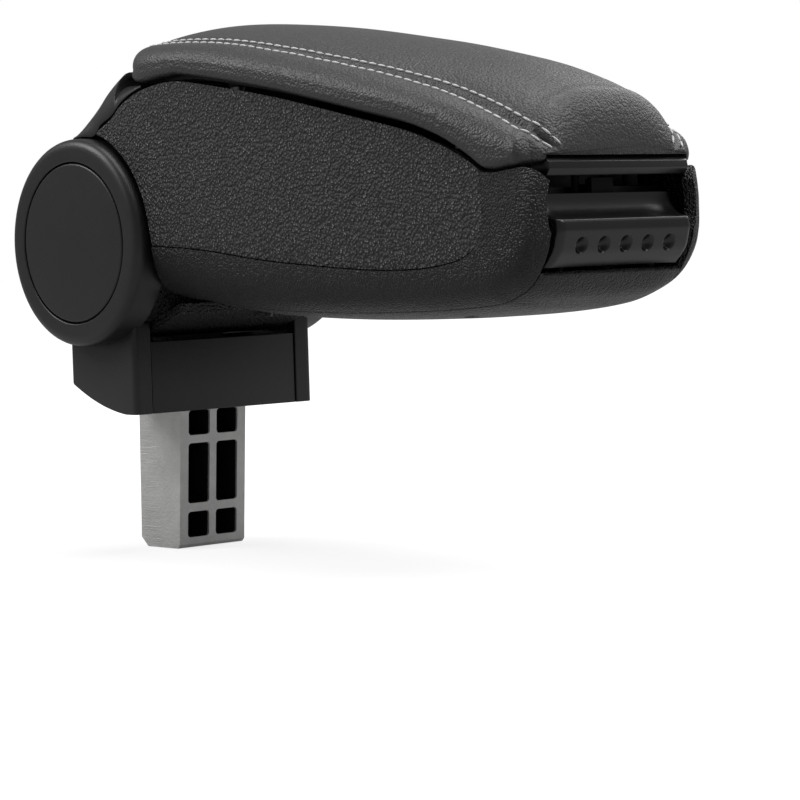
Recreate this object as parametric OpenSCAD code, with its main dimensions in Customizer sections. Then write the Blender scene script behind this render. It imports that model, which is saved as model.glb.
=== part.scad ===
/* [Drum and hinge] */
// Radius of the two drum rings beside the hinge
drum_r = 44.5; // [42:0.5:50]
// Overall width over both drum faces
drum_w = 123; // [121:1:128]
// Depth of each drum ring, from its face to the hinge barrel
ring_depth = 15.5; // [14:0.5:18]
// Radius of the hinge barrel that turns between the cheeks
barrel_r = 42.5; // [40:0.5:43]
// Wall of the hinge barrel
barrel_wall = 3; // [2:0.5:4]
// Radius of the round cap in each drum face
cap_r = 34; // [28:0.5:36]
// Radius of the steel hinge axle
axle_r = 6; // [5:0.5:7]
// Height of the hinge axle above the underside of the foot
axle_height = 74; // [70:1:80]
// Setback of the hinge axle from the middle of the stub
axle_setback = 2; // [0:0.5:4]

/* [Foot] */
// Step from each drum face in to the side of the foot
ring_step = 11.5; // [9:0.5:13]
// Width of each side cover of the foot, beside the front panel
leg_w = 9; // [8:0.5:11]
// Front face of the foot, ahead of the hinge axle
foot_front = 25.5; // [24:0.5:30]
// Rear face of the foot, behind the hinge axle
foot_rear = 19; // [16:0.5:22]
// Height of the front panel
panel_h = 31; // [28:0.5:32]
// Rise of the lower edge of the foot towards its rear
foot_rise = 13; // [8:1:16]
// Wall of the foot covers
foot_wall = 3; // [2:0.5:4]

/* [Stub] */
// Width of the cast stub
stub_w = 37; // [34:0.5:40]
// Depth of the cast stub at its root, front to rear
stub_d = 29; // [27:0.5:31]
// Length of the cast stub below the foot
stub_len = 61; // [50:1:70]
// Rake of the stub's front face over its length
stub_draft = 4; // [0:0.5:5]
// Outer wall of the stub beside its windows
stub_wall = 4.6; // [3.5:0.1:5.5]
// Width of the bars between the stub's windows
stub_bar = 3.8; // [3:0.1:5]

/* [Armrest body] */
// Length from the hinge axle to the nose of the side shells
body_len = 263; // [250:1:280]
// Width of the body at its widest
body_w = 115; // [112:1:118]
// Depth of the belly below the hinge axle
belly_depth = 34.5; // [32:0.5:36]
// Height of the side shells above the hinge axle, at their highest
side_h = 65.5; // [62:0.5:68]
// Thickness of the moulded side shells
shell_wall = 2.6; // [2:0.1:3.5]
// Thickness of the side panels set into the shells
panel_wall = 2.2; // [1.5:0.1:3]
// Width of each side shell in plan, from the widest side in to the belly shell
rim_w = 17.8; // [16:0.1:20]
// Clearance between fixed mouldings that meet edge to edge
edge_gap = 0.3; // [0.2:0.05:0.5]
// Clearance between the rings and the arc of the side shells
arc_gap = 2.5; // [1.5:0.5:4]

/* [Lid] */
// Height of the crown of the lid above the hinge axle
crown_h = 91; // [88:0.5:95]
// Gap between the side shells and the leather of the lid
lid_gap = 3.6; // [3:0.1:5]
// Thickness of the lid tray
tray_wall = 2.5; // [2:0.1:3]
// Distance of the seam from the side of the lid
seam_inset = 13.5; // [11:0.5:16]
// Radius of the lid hinge pin
lid_pin_r = 2.5; // [2:0.1:3]

/* [Latch] */
// Clearance between each end of the latch handle and the side shell
handle_gap = 2.6; // [2:0.1:6]
// Spacing of the finger dimples
dimple_pitch = 12.2; // [10:0.1:13]
// Number of finger dimples
dimple_count = 5; // [3:1:5]
// Radius of a finger dimple
dimple_r = 2.2; // [1.5:0.1:3]
// Radius of the latch pivot pin
latch_pin_r = 2; // [1.6:0.1:2.4]

/* [Storage bin] */
// Distance from the widest side of the body in to the storage bin
bin_inset = 17.5; // [16.5:0.5:22]
// Wall of the storage bin
bin_wall = 2; // [1.5:0.1:2.5]

/* [Hidden] */

// Widths that follow from the overall widths and the depths beside them
cheek_gap = drum_w - 2 * ring_depth;
foot_w = drum_w - 2 * ring_step;
panel_w = foot_w - 2 * leg_w;
belly_half = body_w / 2 - rim_w;
bin_half = body_w / 2 - bin_inset;

$fn = 64;
satin_black = [0.055, 0.055, 0.058];
grained_black = [0.09, 0.09, 0.092];
gloss_black = [0.04, 0.04, 0.042];
charcoal_leather = [0.13, 0.13, 0.135];
cast_grey = [0.72, 0.72, 0.70];
bright_steel = [0.62, 0.63, 0.65];
dark_felt = [0.07, 0.07, 0.075];
soft_rubber = [0.05, 0.05, 0.05];

// A shaft that turns in a bore has this radial clearance
run_fit = 0.05;
// Small overlap that lets a cut pass right through a face
cut = 1;

// Moves a piece from the hinge axle to its place above the foot
module at_axle() translate([-axle_setback, 0, axle_height]) children();

// A cylinder along Y from one place to another
module cross_shaft(r, y_from, y_to)
    translate([0, y_to, 0]) rotate([90, 0, 0]) cylinder(r = r, h = y_to - y_from);

// A side outline in X and Z drawn out along Y
module side_extrude(y_from, y_to)
    translate([0, y_to, 0]) rotate([90, 0, 0]) linear_extrude(y_to - y_from) children();

// A profile of radius and Y turned about the hinge axis
module turned_about_y() rotate([-90, 0, 0]) rotate_extrude() children();

// A rectangle with round corners, from its lowest corner
module round_rect(w, h, r) {
    translate([r, 0]) square([w - 2 * r, h]);
    translate([0, r]) square([w, h - 2 * r]);
    for (x = [r, w - r], y = [r, h - r]) translate([x, y]) circle(r, $fn = 24);
}

// Smooth curve through a table of station and value pairs
function span_of(table, s, i = 0) =
    (i >= len(table) - 2 || s < table[i + 1][0]) ? i : span_of(table, s, i + 1);
function slope_at(table, i) = let(a = max(i - 1, 0), b = min(i + 1, len(table) - 1))
    (table[b][1] - table[a][1]) / (table[b][0] - table[a][0]);
function curve_at(table, s) = let(
    i = span_of(table, s),
    p = table[i],
    q = table[i + 1],
    run = q[0] - p[0],
    u = (s - p[0]) / run,
    start_slope = slope_at(table, i) * run,
    end_slope = slope_at(table, i + 1) * run)
    p[1] * (2 * u ^ 3 - 3 * u ^ 2 + 1) + start_slope * (u ^ 3 - 2 * u ^ 2 + u)
    + q[1] * (3 * u ^ 2 - 2 * u ^ 3) + end_slope * (u ^ 3 - u ^ 2);

// Skin of a solid whose closed sections stand one behind the other
module loft(sections) {
    n = len(sections[0]);
    last = len(sections) - 1;
    points = [for (section = sections) for (p = section) p];
    sides = [for (k = [0:last - 1]) for (i = [0:n - 1])
        [k * n + i, k * n + (i + 1) % n, (k + 1) * n + (i + 1) % n, (k + 1) * n + i]];
    near_end = [for (i = [0:n - 1]) n - 1 - i];
    far_end = [for (i = [0:n - 1]) last * n + i];
    polyhedron(points = points, faces = concat([near_end], sides, [far_end]), convexity = 6);
}

// Shares along the body, from the hinge axle (0) to the nose (1)
WIDTH_SHARE = [[0, 1], [0.2, 1], [0.4, 0.99], [0.6, 0.965], [0.76, 0.928], [0.86, 0.904],
    [0.91, 0.893], [0.95, 0.875], [0.974, 0.85], [0.989, 0.808], [0.997, 0.757], [1, 0.72]];
BELLY_SHARE = [[0, 0.7], [0.19, 0.78], [0.27, 0.87], [0.38, 0.955], [0.55, 1], [0.74, 0.985],
    [0.83, 0.95], [0.9, 0.885], [0.93, 0.81], [0.957, 0.71], [0.975, 0.57], [0.99, 0.4], [1, 0.25]];
TOP_SHARE = [[0, 0.62], [0.03, 0.68], [0.05, 0.735], [0.078, 0.79], [0.105, 0.872],
    [0.145, 0.945], [0.197, 0.99], [0.247, 1], [0.32, 0.962], [0.456, 0.87], [0.547, 0.794],
    [0.65, 0.7], [0.753, 0.603], [0.829, 0.495], [0.875, 0.405], [0.905, 0.34], [0.95, 0.35],
    [1, 0.38]];
CROWN_SHARE = [[0.09, 0.93], [0.115, 0.965], [0.16, 0.99], [0.23, 1], [0.34, 0.989],
    [0.456, 0.96], [0.59, 0.905], [0.685, 0.86], [0.76, 0.81], [0.844, 0.735], [0.913, 0.645],
    [0.95, 0.575], [0.975, 0.49], [0.99, 0.405], [1, 0.35]];
SEAM_SHARE = [[0.09, 0.905], [0.13, 0.916], [0.235, 0.912], [0.335, 0.886], [0.475, 0.818],
    [0.565, 0.766], [0.654, 0.708], [0.738, 0.648], [0.821, 0.576], [0.9, 0.474],
    [0.95, 0.385], [0.98, 0.325], [1, 0.3]];

function half_w_at(x) = body_w / 2 * curve_at(WIDTH_SHARE, min(x / body_len, 1));
function belly_at(x) = -belly_depth * curve_at(BELLY_SHARE, min(x / body_len, 1));
function top_at(x) = side_h * curve_at(TOP_SHARE, min(x / body_len, 1));
function crown_at(x) = crown_h * curve_at(CROWN_SHARE, min(x / body_len, 1));
function seam_at(x) = crown_h * curve_at(SEAM_SHARE, min(x / body_len, 1));

// Lower corner of a body section is a superellipse, sampled at these angles
corner_power = 2 / 3.8;
CORNER_ANGLES = [0, 5, 12, 22, 34, 46, 58, 70, 80];
// Share of the section's height at which the body is widest
widest_share = 0.56;
// Narrowing of the side at its upper edge
upper_taper = 0.04;

// Half of a body section, from the upper edge down to the belly, inset by a wall
function half_section(x, inset, rise) = let(
    ahead = min(x + inset, body_len),
    w = half_w_at(ahead) - inset,
    low = belly_at(ahead) + inset,
    high = top_at(x),
    mid = low + (high - low) * widest_share,
    drop = mid - low)
    concat(
        [for (u = [1, 0.66, 0.33])
            [w * (1 - upper_taper * u * u), mid + (high + rise - mid) * u]],
        [for (a = CORNER_ANGLES)
            [w * cos(a) ^ corner_power, mid - drop * sin(a) ^ corner_power]]);

// Whole body section at a station, counter to the next one's winding
function body_section(x, inset, rise) = let(
    half = half_section(x, inset, rise),
    n = len(half))
    concat([for (p = half) [x, p[0], p[1]]],
        [for (i = [n - 1:-1:0]) [x, -half[i][0], half[i][1]]]);

// Stations are closer together near the nose
function station(u) = u < 0.75 ? u / 0.75 * 0.86 : 0.86 + (u - 0.75) / 0.25 * 0.14;
station_count = 20;

// Solid of the body's outer form, or of its inside when inset
module body_form(x_from, inset, rise) {
    x_to = body_len - inset;
    s_from = x_from / body_len;
    loft([for (i = [0:station_count])
        body_section(x_from + (x_to - x_from) * (station(s_from + (1 - s_from) * i / station_count)
            - station(s_from)) / (1 - station(s_from)), inset, rise)]);
}

// Rear arc of the side shells, concentric with the drum
arc_r = drum_r + arc_gap;
shell_start = 10;

module rear_arc_cut() cross_shaft(arc_r, -body_w, body_w, $fn = 96);

// Outline of the inset side panel in X and Z
module side_panel_outline(grow = 0) {
    front = body_len * 0.905 + grow;
    low_run = [[0.045, 0.1], [0.14, 0.04], [0.3, -0.12], [0.45, -0.26], [0.6, -0.355], [0.7, -0.395],
        [0.8, -0.38], [0.85, -0.33], [0.885, -0.235], [0.903, -0.08], [0.907, 0.12],
        [0.9, 0.4]];
    polygon(concat(
        [for (p = low_run) [p[0] * body_len + (p[0] > 0.8 ? grow : 0),
            p[1] * belly_depth - (p[0] < 0.9 ? grow : 0)]],
        [for (i = [0:21]) let(s = 0.893 - i * 0.0403)
            [s * body_len, top_at(s * body_len) + cut + grow]]));
}

// All that lies to the right of the belly shell
module right_half() translate([-cut, -body_w, -100]) cube([body_len + 2 * cut, body_w - belly_half, 300]);

// Side shell with its bottom band and front corner, and a seat for the panel
module side_shell_solid() {
    pocket = panel_wall + edge_gap;
    inner = panel_wall + shell_wall + edge_gap;
    difference() {
        intersection() {
            difference() {
                body_form(shell_start, 0, 0);
                body_form(shell_start - cut, inner, 20);
            }
            right_half();
        }
        rear_arc_cut();
        difference() {
            side_extrude(-body_w, -belly_half) side_panel_outline(edge_gap);
            body_form(shell_start - cut, pocket, 20);
        }
    }
}

module side_panel_solid() {
    difference() {
        intersection() {
            difference() {
                body_form(shell_start, 0, 0);
                body_form(shell_start - cut, panel_wall, 20);
            }
            side_extrude(-body_w, -belly_half) side_panel_outline(0);
        }
        rear_arc_cut();
    }
}

module right_side_shell() color(grained_black) at_axle() side_shell_solid();
module left_side_shell() color(grained_black) at_axle() mirror([0, 1, 0]) side_shell_solid();
module right_side_panel() color(grained_black) at_axle() side_panel_solid();
module left_side_panel() color(grained_black) at_axle() mirror([0, 1, 0]) side_panel_solid();

// Draws a piece on the left side and its mirror image on the right side
module both_sides() {
    children();
    mirror([0, 1, 0]) children();
}

// Belly shell: the skin between the side shells, open at the front for the latch
belly_back = 44;
sill_z = -16.8;
boss_r = 4;
screw_r = 1.6;
latch_x = body_len - 12.5;
latch_z = -12;
latch_ear_out = belly_half - 12.7;
latch_ear_in = latch_ear_out - 3;

module belly_shell() color(grained_black) at_axle() {
    difference() {
        union() {
            intersection() {
                difference() {
                    body_form(shell_start, 0, 0);
                    body_form(shell_start - cut, shell_wall, 20);
                }
                side_extrude(-belly_half + edge_gap, belly_half - edge_gap) union() {
                    translate([belly_back, -60]) square([body_len * 0.8 - belly_back, 60]);
                    translate([body_len * 0.8 - cut, -60]) square([body_len * 0.2, 60 + sill_z]);
                }
            }
            // bosses under the storage bin
            for (x = bin_screw_x, y = [-1, 1] * bin_screw_y)
                translate([x, y, belly_at(x) + shell_wall / 2])
                    cylinder(r = boss_r, h = bin_floor_z - belly_at(x) - shell_wall / 2 - 0.05);
            // ears for the latch pivot pin
            both_sides() side_extrude(latch_ear_in, latch_ear_out) latch_ear_outline();
        }
        for (x = bin_screw_x, y = [-1, 1] * bin_screw_y)
            translate([x, y, bin_floor_z - 8]) cylinder(r = screw_r, h = 10);
        translate([latch_x, 0, latch_z]) cross_shaft(latch_pin_r, -body_w, body_w);
    }
}

module latch_ear_outline() {
    translate([latch_x, latch_z]) circle(4);
    polygon([[latch_x - 4, latch_z], [latch_x + 3, latch_z - 3], [latch_x - 1, -22],
        [latch_x - 16, -29.5], [latch_x - 22, -29.5], [latch_x - 14, -20]]);
}

// Storage bin that stands on the belly shell, below the lid
bin_rear = 62;
bin_front = body_len - 31;
bin_floor_z = -24;
bin_screw_x = [bin_rear + 18, bin_front - 27];
bin_screw_y = bin_half - 16;
bin_top_drop = 2.5;
bin_chamfer = 10;
bin_flange = body_w / 2 - 13.3;
mat_t = 1.5;

module bin_outline(inset) {
    front = bin_front - inset;
    rear = bin_rear + inset;
    low = bin_floor_z + inset;
    steps = 14;
    polygon(concat(
        [[rear, low + 6], [rear + 2, low + 2], [rear + 6, low],
            [front - 14, low], [front - 6, low + 3], [front, low + 12]],
        [for (i = [0:steps]) let(x = front - (front - rear) * i / steps)
            [x, top_at(x) - bin_top_drop + (inset > 0 ? 10 : 0)]]));
}

// Tub of the bin with sloping lower corners, or its inside when inset
module bin_form(inset) {
    half = bin_half + bin_wall - inset;
    low = bin_floor_z + inset;
    slope = bin_chamfer - inset * 0.4;
    intersection() {
        side_extrude(-half, half) bin_outline(inset);
        rotate([90, 0, 90]) linear_extrude(body_len)
            polygon([[slope - half, low], [half - slope, low], [half, low + slope], [half, 2 * side_h],
                [-half, 2 * side_h], [-half, low + slope]]);
    }
}

module bin_flange_outline() {
    steps = 12;
    far = bin_front - 50;
    polygon(concat(
        [for (i = [0:steps]) let(x = bin_rear + (far - bin_rear) * i / steps)
            [x, top_at(x) - bin_top_drop - bin_wall]],
        [for (i = [steps:-1:0]) let(x = bin_rear + (far - bin_rear) * i / steps)
            [x, top_at(x) - bin_top_drop]]));
}

module storage_bin() color(satin_black) at_axle() {
    difference() {
        union() {
            bin_form(0);
            side_extrude(-bin_flange, bin_flange) bin_flange_outline();
        }
        bin_form(bin_wall);
        for (x = bin_screw_x, y = [-1, 1] * bin_screw_y)
            translate([x, y, bin_floor_z - cut]) cylinder(r = screw_r + 0.2, h = bin_wall + 2 * cut);
    }
}

module bin_mat() color(dark_felt) at_axle() {
    low = bin_floor_z + bin_wall + 0.1;
    difference() {
        translate([bin_rear + 10, bin_chamfer - bin_half, low])
            cube([bin_front - bin_rear - 28, 2 * (bin_half - bin_chamfer), mat_t]);
        for (x = bin_screw_x, y = [-1, 1] * bin_screw_y)
            translate([x, y, low - cut]) cylinder(r = 4.5, h = mat_t + 2 * cut);
    }
}

// Screws that hold the bin on the belly shell
module shell_screws() color(bright_steel) at_axle() {
    for (x = bin_screw_x, y = [-1, 1] * bin_screw_y)
        translate([x, y, bin_floor_z + bin_wall + 0.05]) {
            cylinder(r = 3.4, h = 2);
            translate([0, 0, -9]) cylinder(r = screw_r - 0.1, h = 9.5);
        }
}

// Cross member behind the latch, from side shell to side shell
bar_rear = body_len - 27.5;
bar_front = bar_rear + 7;
bar_top = 16;
bar_half = body_w / 2 - 14.3;

module front_crossbar() color(satin_black) at_axle() {
    difference() {
        translate([bar_rear, -bar_half, bar_top - 9]) cube([bar_front - bar_rear, 2 * bar_half, 9]);
        translate([bar_rear + 2, cut - bar_half, bar_top - 9 - cut])
            cube([bar_front - bar_rear - 4, 2 * bar_half - 2 * cut, 9 - 1]);
    }
}

// Hinge barrel: a ribbed tube that turns between the cheeks and carries the belly
barrel_gap = 0.6;
barrel_half = cheek_gap / 2 - barrel_gap;
web_t = 3;
tail_half = min(belly_half - edge_gap, barrel_half - 6);
hub_half = 14;
washer_t = 2.7;
web_from = hub_half + washer_t + 0.3;
bush_r = 9.5;
slot_half = 16.4;
stop_ring_r = 23;
stop_pin_r = 2.5;
tilt_max = 90;

module wedge(a_from, a_to, r)
    polygon(concat([[0, 0]],
        [for (i = [0:8]) let(a = a_from + (a_to - a_from) * i / 8) r * [cos(a), sin(a)]]));

module barrel_tail_outline()
    polygon([[6, 1.4 - barrel_r], [16, 1.2 - barrel_r], [24, -38.4], [34, -34.8],
        [belly_back - 0.3, -31], [belly_back - 0.3, -27], [36, -30.5], [36, -11],
        [bin_rear - 0.4, -11], [bin_rear - 0.4, -8], [36, -8], [36, 20], [24, 30]]);

module hinge_barrel() color(grained_black) at_axle() {
    difference() {
        union() {
            difference() {
                union() {
                    cross_shaft(barrel_r, -barrel_half, barrel_half, $fn = 96);
                    side_extrude(-tail_half, tail_half) barrel_tail_outline();
                }
                cross_shaft(barrel_r - barrel_wall, -barrel_half - cut, barrel_half + cut, $fn = 96);
            }
            both_sides() {
                cross_shaft(barrel_r - barrel_wall / 2, barrel_half - web_t, barrel_half);
                cross_shaft(barrel_r - barrel_wall / 2, web_from, web_from + web_t);
                cross_shaft(bush_r + 3, web_from, barrel_half);
            }
            both_sides() for (a = [20, 80, 140])
                rotate([0, -a, 0]) translate([bush_r + 1, web_from + web_t + 2, -1.2])
                    cube([barrel_r - bush_r - 2.5, barrel_half - web_from - web_t - 3, 2.4]);
        }
        cross_shaft(bush_r, -body_w, body_w);
        // slot for the neck of the casting over the whole tilt
        side_extrude(-slot_half, slot_half) wedge(-78, -78 - tilt_max - 38, 2 * barrel_r);
        // arc slots for the stop pin
        both_sides() translate([0, web_from + web_t + cut, 0]) rotate([90, 0, 0])
            rotate_extrude(angle = tilt_max + 14, start = 83 - tilt_max)
                translate([stop_ring_r - stop_pin_r - 0.5, 0])
                    square([2 * stop_pin_r + 1, web_t + 2 * cut]);
    }
}

module barrel_bushes() color(soft_rubber) at_axle()
    both_sides() difference() {
        cross_shaft(bush_r - 0.02, web_from, barrel_half);
        cross_shaft(axle_r + run_fit, 0, body_w);
    }

// Rear cover: a smooth hood from the barrel up to the lid hinge
lid_pin_x = 26.5;
lid_pin_z = 72;
cover_half = body_w / 2 - 3.5;
cover_wall = 2.2;
cover_round = 9;
COVER_TOP = [[-12, 42.4], [-9, 45], [-5, 48.5], [0, 53.6], [5, 58.2], [10, 62.5],
    [15, 66.2], [21, 70], [21.8, 66], [41, 65.6], [44, 65.5]];

module cover_form(inset, first, last)
    loft([for (k = [first:last]) let(
        x = COVER_TOP[k][0],
        h = COVER_TOP[k][1] - inset,
        w = cover_half - inset,
        r = cover_round)
        concat([[x, -w, 30], [x, -w, h - r]],
            [for (a = [15:15:75]) [x, -w + r - r * cos(a), h - r + r * sin(a)]],
            [[x, -w + r, h], [x, w - r, h]],
            [for (a = [75:-15:15]) [x, w - r + r * cos(a), h - r + r * sin(a)]],
            [[x, w, h - r], [x, w, 30]])]);

module cover_side_outline() {
    steps = 10;
    front = 40.5;
    rear = 8;
    polygon(concat(
        [for (i = [0:steps]) let(x = rear + (front - rear) * i / steps) [x, top_at(x) + 0.8]],
        [[front, 100], [-30, 100], [-30, 25]], [[rear, 25]]));
}

module cover_ear_outline() {
    translate([lid_pin_x, lid_pin_z]) circle(5);
    polygon([[22, 70], [31, 70], [33, 60], [18, 60]]);
}

module rear_cover() color(satin_black) at_axle() {
    difference() {
        union() {
            intersection() {
                difference() {
                    cover_form(0, 1, 9);
                    cover_form(cover_wall, 0, 10);
                }
                side_extrude(-body_w, body_w) cover_side_outline();
            }
            // ears for the lid hinge pin
            both_sides() side_extrude(18, 24) cover_ear_outline();
        }
        translate([lid_pin_x, 0, lid_pin_z]) cross_shaft(lid_pin_r, -body_w, body_w);
        cross_shaft(barrel_r + 0.3, -barrel_half, barrel_half, $fn = 96);
        cross_shaft(drum_r + 0.8, -body_w, -barrel_half, $fn = 96);
        cross_shaft(drum_r + 0.8, barrel_half, body_w, $fn = 96);
    }
}

module lid_hinge_pin() color(bright_steel) at_axle()
    translate([lid_pin_x, 0, lid_pin_z]) cross_shaft(lid_pin_r, -33, 33);

// Lid tray: the moulded board under the padding, with knuckles at its rear
tray_rise = 1.2;
tray_rear = 34;
tray_front = body_len - 11.8;
tray_inset = 11.5;
pad_gap = 0.6;
rear_ledge = 66.6;
knuckle_in = 24.5;
knuckle_out = 32;

function tray_low(x) = max(top_at(x) + tray_rise, x < 62 ? rear_ledge : 0);

module tray_outline(low, high, from, to) {
    steps = 44;
    polygon(concat(
        [for (i = [0:steps]) let(x = from + (to - from) * i / steps) [x, tray_low(x) + low]],
        [for (i = [steps:-1:0]) let(x = from + (to - from) * i / steps) [x, tray_low(x) + high]]));
}

module plan_outline(inset, from, to) {
    steps = 16;
    polygon(concat(
        [for (i = [0:steps]) let(x = from + (to - from) * i / steps) [x, inset - half_w_at(x)]],
        [for (i = [steps:-1:0]) let(x = from + (to - from) * i / steps) [x, half_w_at(x) - inset]]));
}

lid_screw_x = [80, body_len - 51];
lid_screw_y = belly_half - 5.7;
boss_drop = 2.4;

module lid_tray() color(satin_black) at_axle() {
    difference() {
        union() {
            intersection() {
                side_extrude(-body_w, body_w) tray_outline(0, tray_wall, tray_rear, tray_front);
                linear_extrude(200) plan_outline(tray_inset, tray_rear, tray_front);
            }
            both_sides() side_extrude(knuckle_in, knuckle_out) {
                translate([lid_pin_x, lid_pin_z]) circle(4.8);
                polygon([[lid_pin_x + 1, lid_pin_z + 4.6], [tray_rear + 6, rear_ledge + tray_wall],
                    [tray_rear + 6, rear_ledge], [lid_pin_x + 2, lid_pin_z - 4.2]]);
            }
            for (x = lid_screw_x, y = [-1, 1] * lid_screw_y)
                translate([x, y, tray_low(x) - boss_drop]) cylinder(r = boss_r, h = boss_drop + 1);
        }
        translate([lid_pin_x, 0, lid_pin_z]) cross_shaft(lid_pin_r + run_fit, -body_w, body_w);
        for (x = lid_screw_x, y = [-1, 1] * lid_screw_y)
            translate([x, y, 0]) cylinder(r = screw_r, h = 100);
    }
}

module lid_screws() color(bright_steel) at_axle()
    for (x = lid_screw_x, y = [-1, 1] * lid_screw_y) translate([x, y, tray_low(x)]) {
        translate([0, 0, -boss_drop - 1.55]) cylinder(r = 3, h = 1.5);
        translate([0, 0, -boss_drop - 0.5]) cylinder(r = screw_r - 0.1, h = boss_drop + tray_wall - 0.5);
    }

// Trim bar across the front of the lid, below the leather
trim_half = belly_half - 1;
trim_top = 27.4;
trim_front = tray_front + 10.6;

module lid_trim_bar() color(gloss_black) at_axle()
    difference() {
        side_extrude(-trim_half, trim_half)
            polygon([[tray_front + 0.2, trim_top], [trim_front - 1, trim_top], [trim_front, trim_top - 1],
                [trim_front, trim_top - 4.6], [trim_front - 1.8, trim_top - 7.4],
                [tray_front + 0.2, trim_top - 6.8]]);
        side_extrude(3 - trim_half, trim_half - 3)
            polygon([[tray_front - cut, trim_top - 2.8], [trim_front - 3.8, trim_top - 2.8],
                [trim_front - 3.8, trim_top - 4.8], [tray_front - cut, trim_top - 4.8]]);
    }

// Padding and leather of the lid as one soft solid
SKIRT = [[25, 74], [29, 72.4], [33, 68], [38, 66.5], [45, 66.6], [54, 68.2], [62, 68.9]];
CORNER = [[25, 14], [26, 10], [28, 6.5], [32, 3.4], [38, 1.4], [46, 0.8], [60, 0.6]];
lid_low_x = body_len - 28;
lid_stations = concat(
    [25, 26, 28, 29.5, 32, 36, 40, 43.4, 44, 48],
    [for (i = [0:11]) 60 + (lid_low_x - 60) * i / 12],
    [for (back = [28, 23, 18, 12.5, 8, 4.5, 2.5, 1.4]) body_len - back]);

function lid_half(x) = half_w_at(x) - (x < 60 ? curve_at(CORNER, x) : 0.6);
function skirt_at(x) = x < 62 ? curve_at(SKIRT, x)
    : top_at(x) + lid_gap - (lid_gap - 1.2) * min(1, max(0, x - body_len + 48) / 25);
function padding_low(x) = max(x < 32 ? 0 : tray_low(x) + tray_wall + pad_gap,
    x > 44 ? 0 : lid_pin_z + 5.4 - 0.6 * max(0, x - 29.5),
    x < lid_low_x ? 0 : trim_top + edge_gap);

function lid_section(x) = let(
    w = lid_half(x),
    skirt = skirt_at(x),
    seam_y = w - seam_inset,
    recess = max(w - tray_inset + 2.2, trim_half + 0.5),
    skirt_w = w - recess,
    seam_z = max(seam_at(x), padding_low(x) + 1.2),
    crown_z = crown_at(x),
    mid_z = skirt + (seam_z - skirt) * 0.35,
    half = concat(
        [[recess, max(padding_low(x), skirt + 0.2)], [recess + skirt_w * 0.06, skirt],
            [w - skirt_w * 0.26, skirt], [w - skirt_w * 0.05, skirt + (mid_z - skirt) * 0.45]],
        [for (a = [0, 16, 32, 48, 64, 78])
            [w - seam_inset + seam_inset * cos(a), mid_z + (seam_z - mid_z) * sin(a)]],
        [for (u = [0.97, 0.8, 0.55, 0.28])
            [seam_y * u, seam_z + (crown_z - seam_z) * (1 - u ^ 2.2)]]),
    n = len(half))
    concat([for (p = half) [x, -p[0], p[1]]], [[x, 0, crown_z]],
        [for (i = [n - 1:-1:0]) [x, half[i][0], half[i][1]]]);

module lid_cushion() color(charcoal_leather) at_axle()
    loft([for (x = lid_stations) lid_section(x)]);

module lid_liner() color(dark_felt) at_axle()
    side_extrude(6 - lid_screw_y, lid_screw_y - 6) tray_outline(-1.3, -0.3, bin_rear + 10, bin_front - 8);

// Striker loop under the lid, and the rubber stops beside it
striker_x = body_len - 17.5;
striker_z = 15.4;
module lid_striker() color(bright_steel) at_axle() {
    translate([striker_x, 0, striker_z]) cross_shaft(1.5, -8, 8, $fn = 32);
    both_sides() translate([striker_x, 8, striker_z - 1.5])
        cylinder(r = 1.5, h = tray_low(striker_x) - striker_z, $fn = 32);
    translate([striker_x - 3, -13, tray_low(striker_x) - 1.5]) cube([6, 26, 1.2]);
}

bumper_r = 3;
bumper_x = (bar_rear + bar_front) / 2;
module lid_bumpers() color(soft_rubber) at_axle()
    for (y = [-1, 1] * (belly_half - 9.7)) translate([bumper_x, y, bar_top + 0.3])
        cylinder(r = bumper_r, h = min(tray_low(bumper_x - bumper_r), tray_low(bumper_x),
            tray_low(bumper_x + bumper_r)) - bar_top - 0.9);

// Latch handle: a plate with finger dimples and a cove above it
plate_x = body_len + 2;
plate_top = 3;
plate_low = -15.2;
handle_wall = 2.6;
cove_top_x = body_len - 8.5;
handle_half = belly_half - handle_gap;
cove_top_z = 13.4;

// Front of the plate, which leans back towards its lower edge
PLATE_FRONT = [[plate_x - 8.2, plate_low], [plate_x - 4.6, plate_low + 3.6],
    [plate_x - 2, plate_low + 7.2], [plate_x - 0.6, plate_low + 11], [plate_x, plate_top - 3.6],
    [plate_x - 0.2, plate_top - 0.8], [plate_x - 1, plate_top]];

module handle_outline() {
    cove_r = 9.4;
    polygon(concat(
        PLATE_FRONT,
        [for (a = [0:11.25:90]) [cove_top_x + cove_r * (1 - sin(a)) , cove_top_z - cove_r * cos(a)]],
        [[cove_top_x - 2.2, cove_top_z], [cove_top_x - 2.2, cove_top_z - 4],
            [cove_top_x + 1, plate_top - 1], [plate_x - 3.4, plate_top - 3.4],
            [plate_x - handle_wall - 0.4, plate_low + 11], [plate_x - handle_wall - 2, plate_low + 8],
            [plate_x - handle_wall - 4.6, plate_low + 4.8], [plate_x - handle_wall - 7.6, plate_low + 1.2]]));
}

module handle_end_outline()
    polygon(concat(PLATE_FRONT, [[cove_top_x + 6, plate_top],
        [cove_top_x - 1, cove_top_z - 5], [cove_top_x - 2.2, cove_top_z - 8], [latch_x - 3, latch_z + 4],
        [latch_x - 4, latch_z - 1], [latch_x, plate_low]]));

module handle_plan_outline() {
    half = handle_half;
    polygon([[latch_x - 6, -half], [plate_x - 4, -half], [plate_x - 1.2, 1.2 - half],
        [plate_x + 1, 3.6 - half], [plate_x + 1, half - 3.6], [plate_x - 1.2, half - 1.2],
        [plate_x - 4, half], [latch_x - 6, half]]);
}

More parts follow.
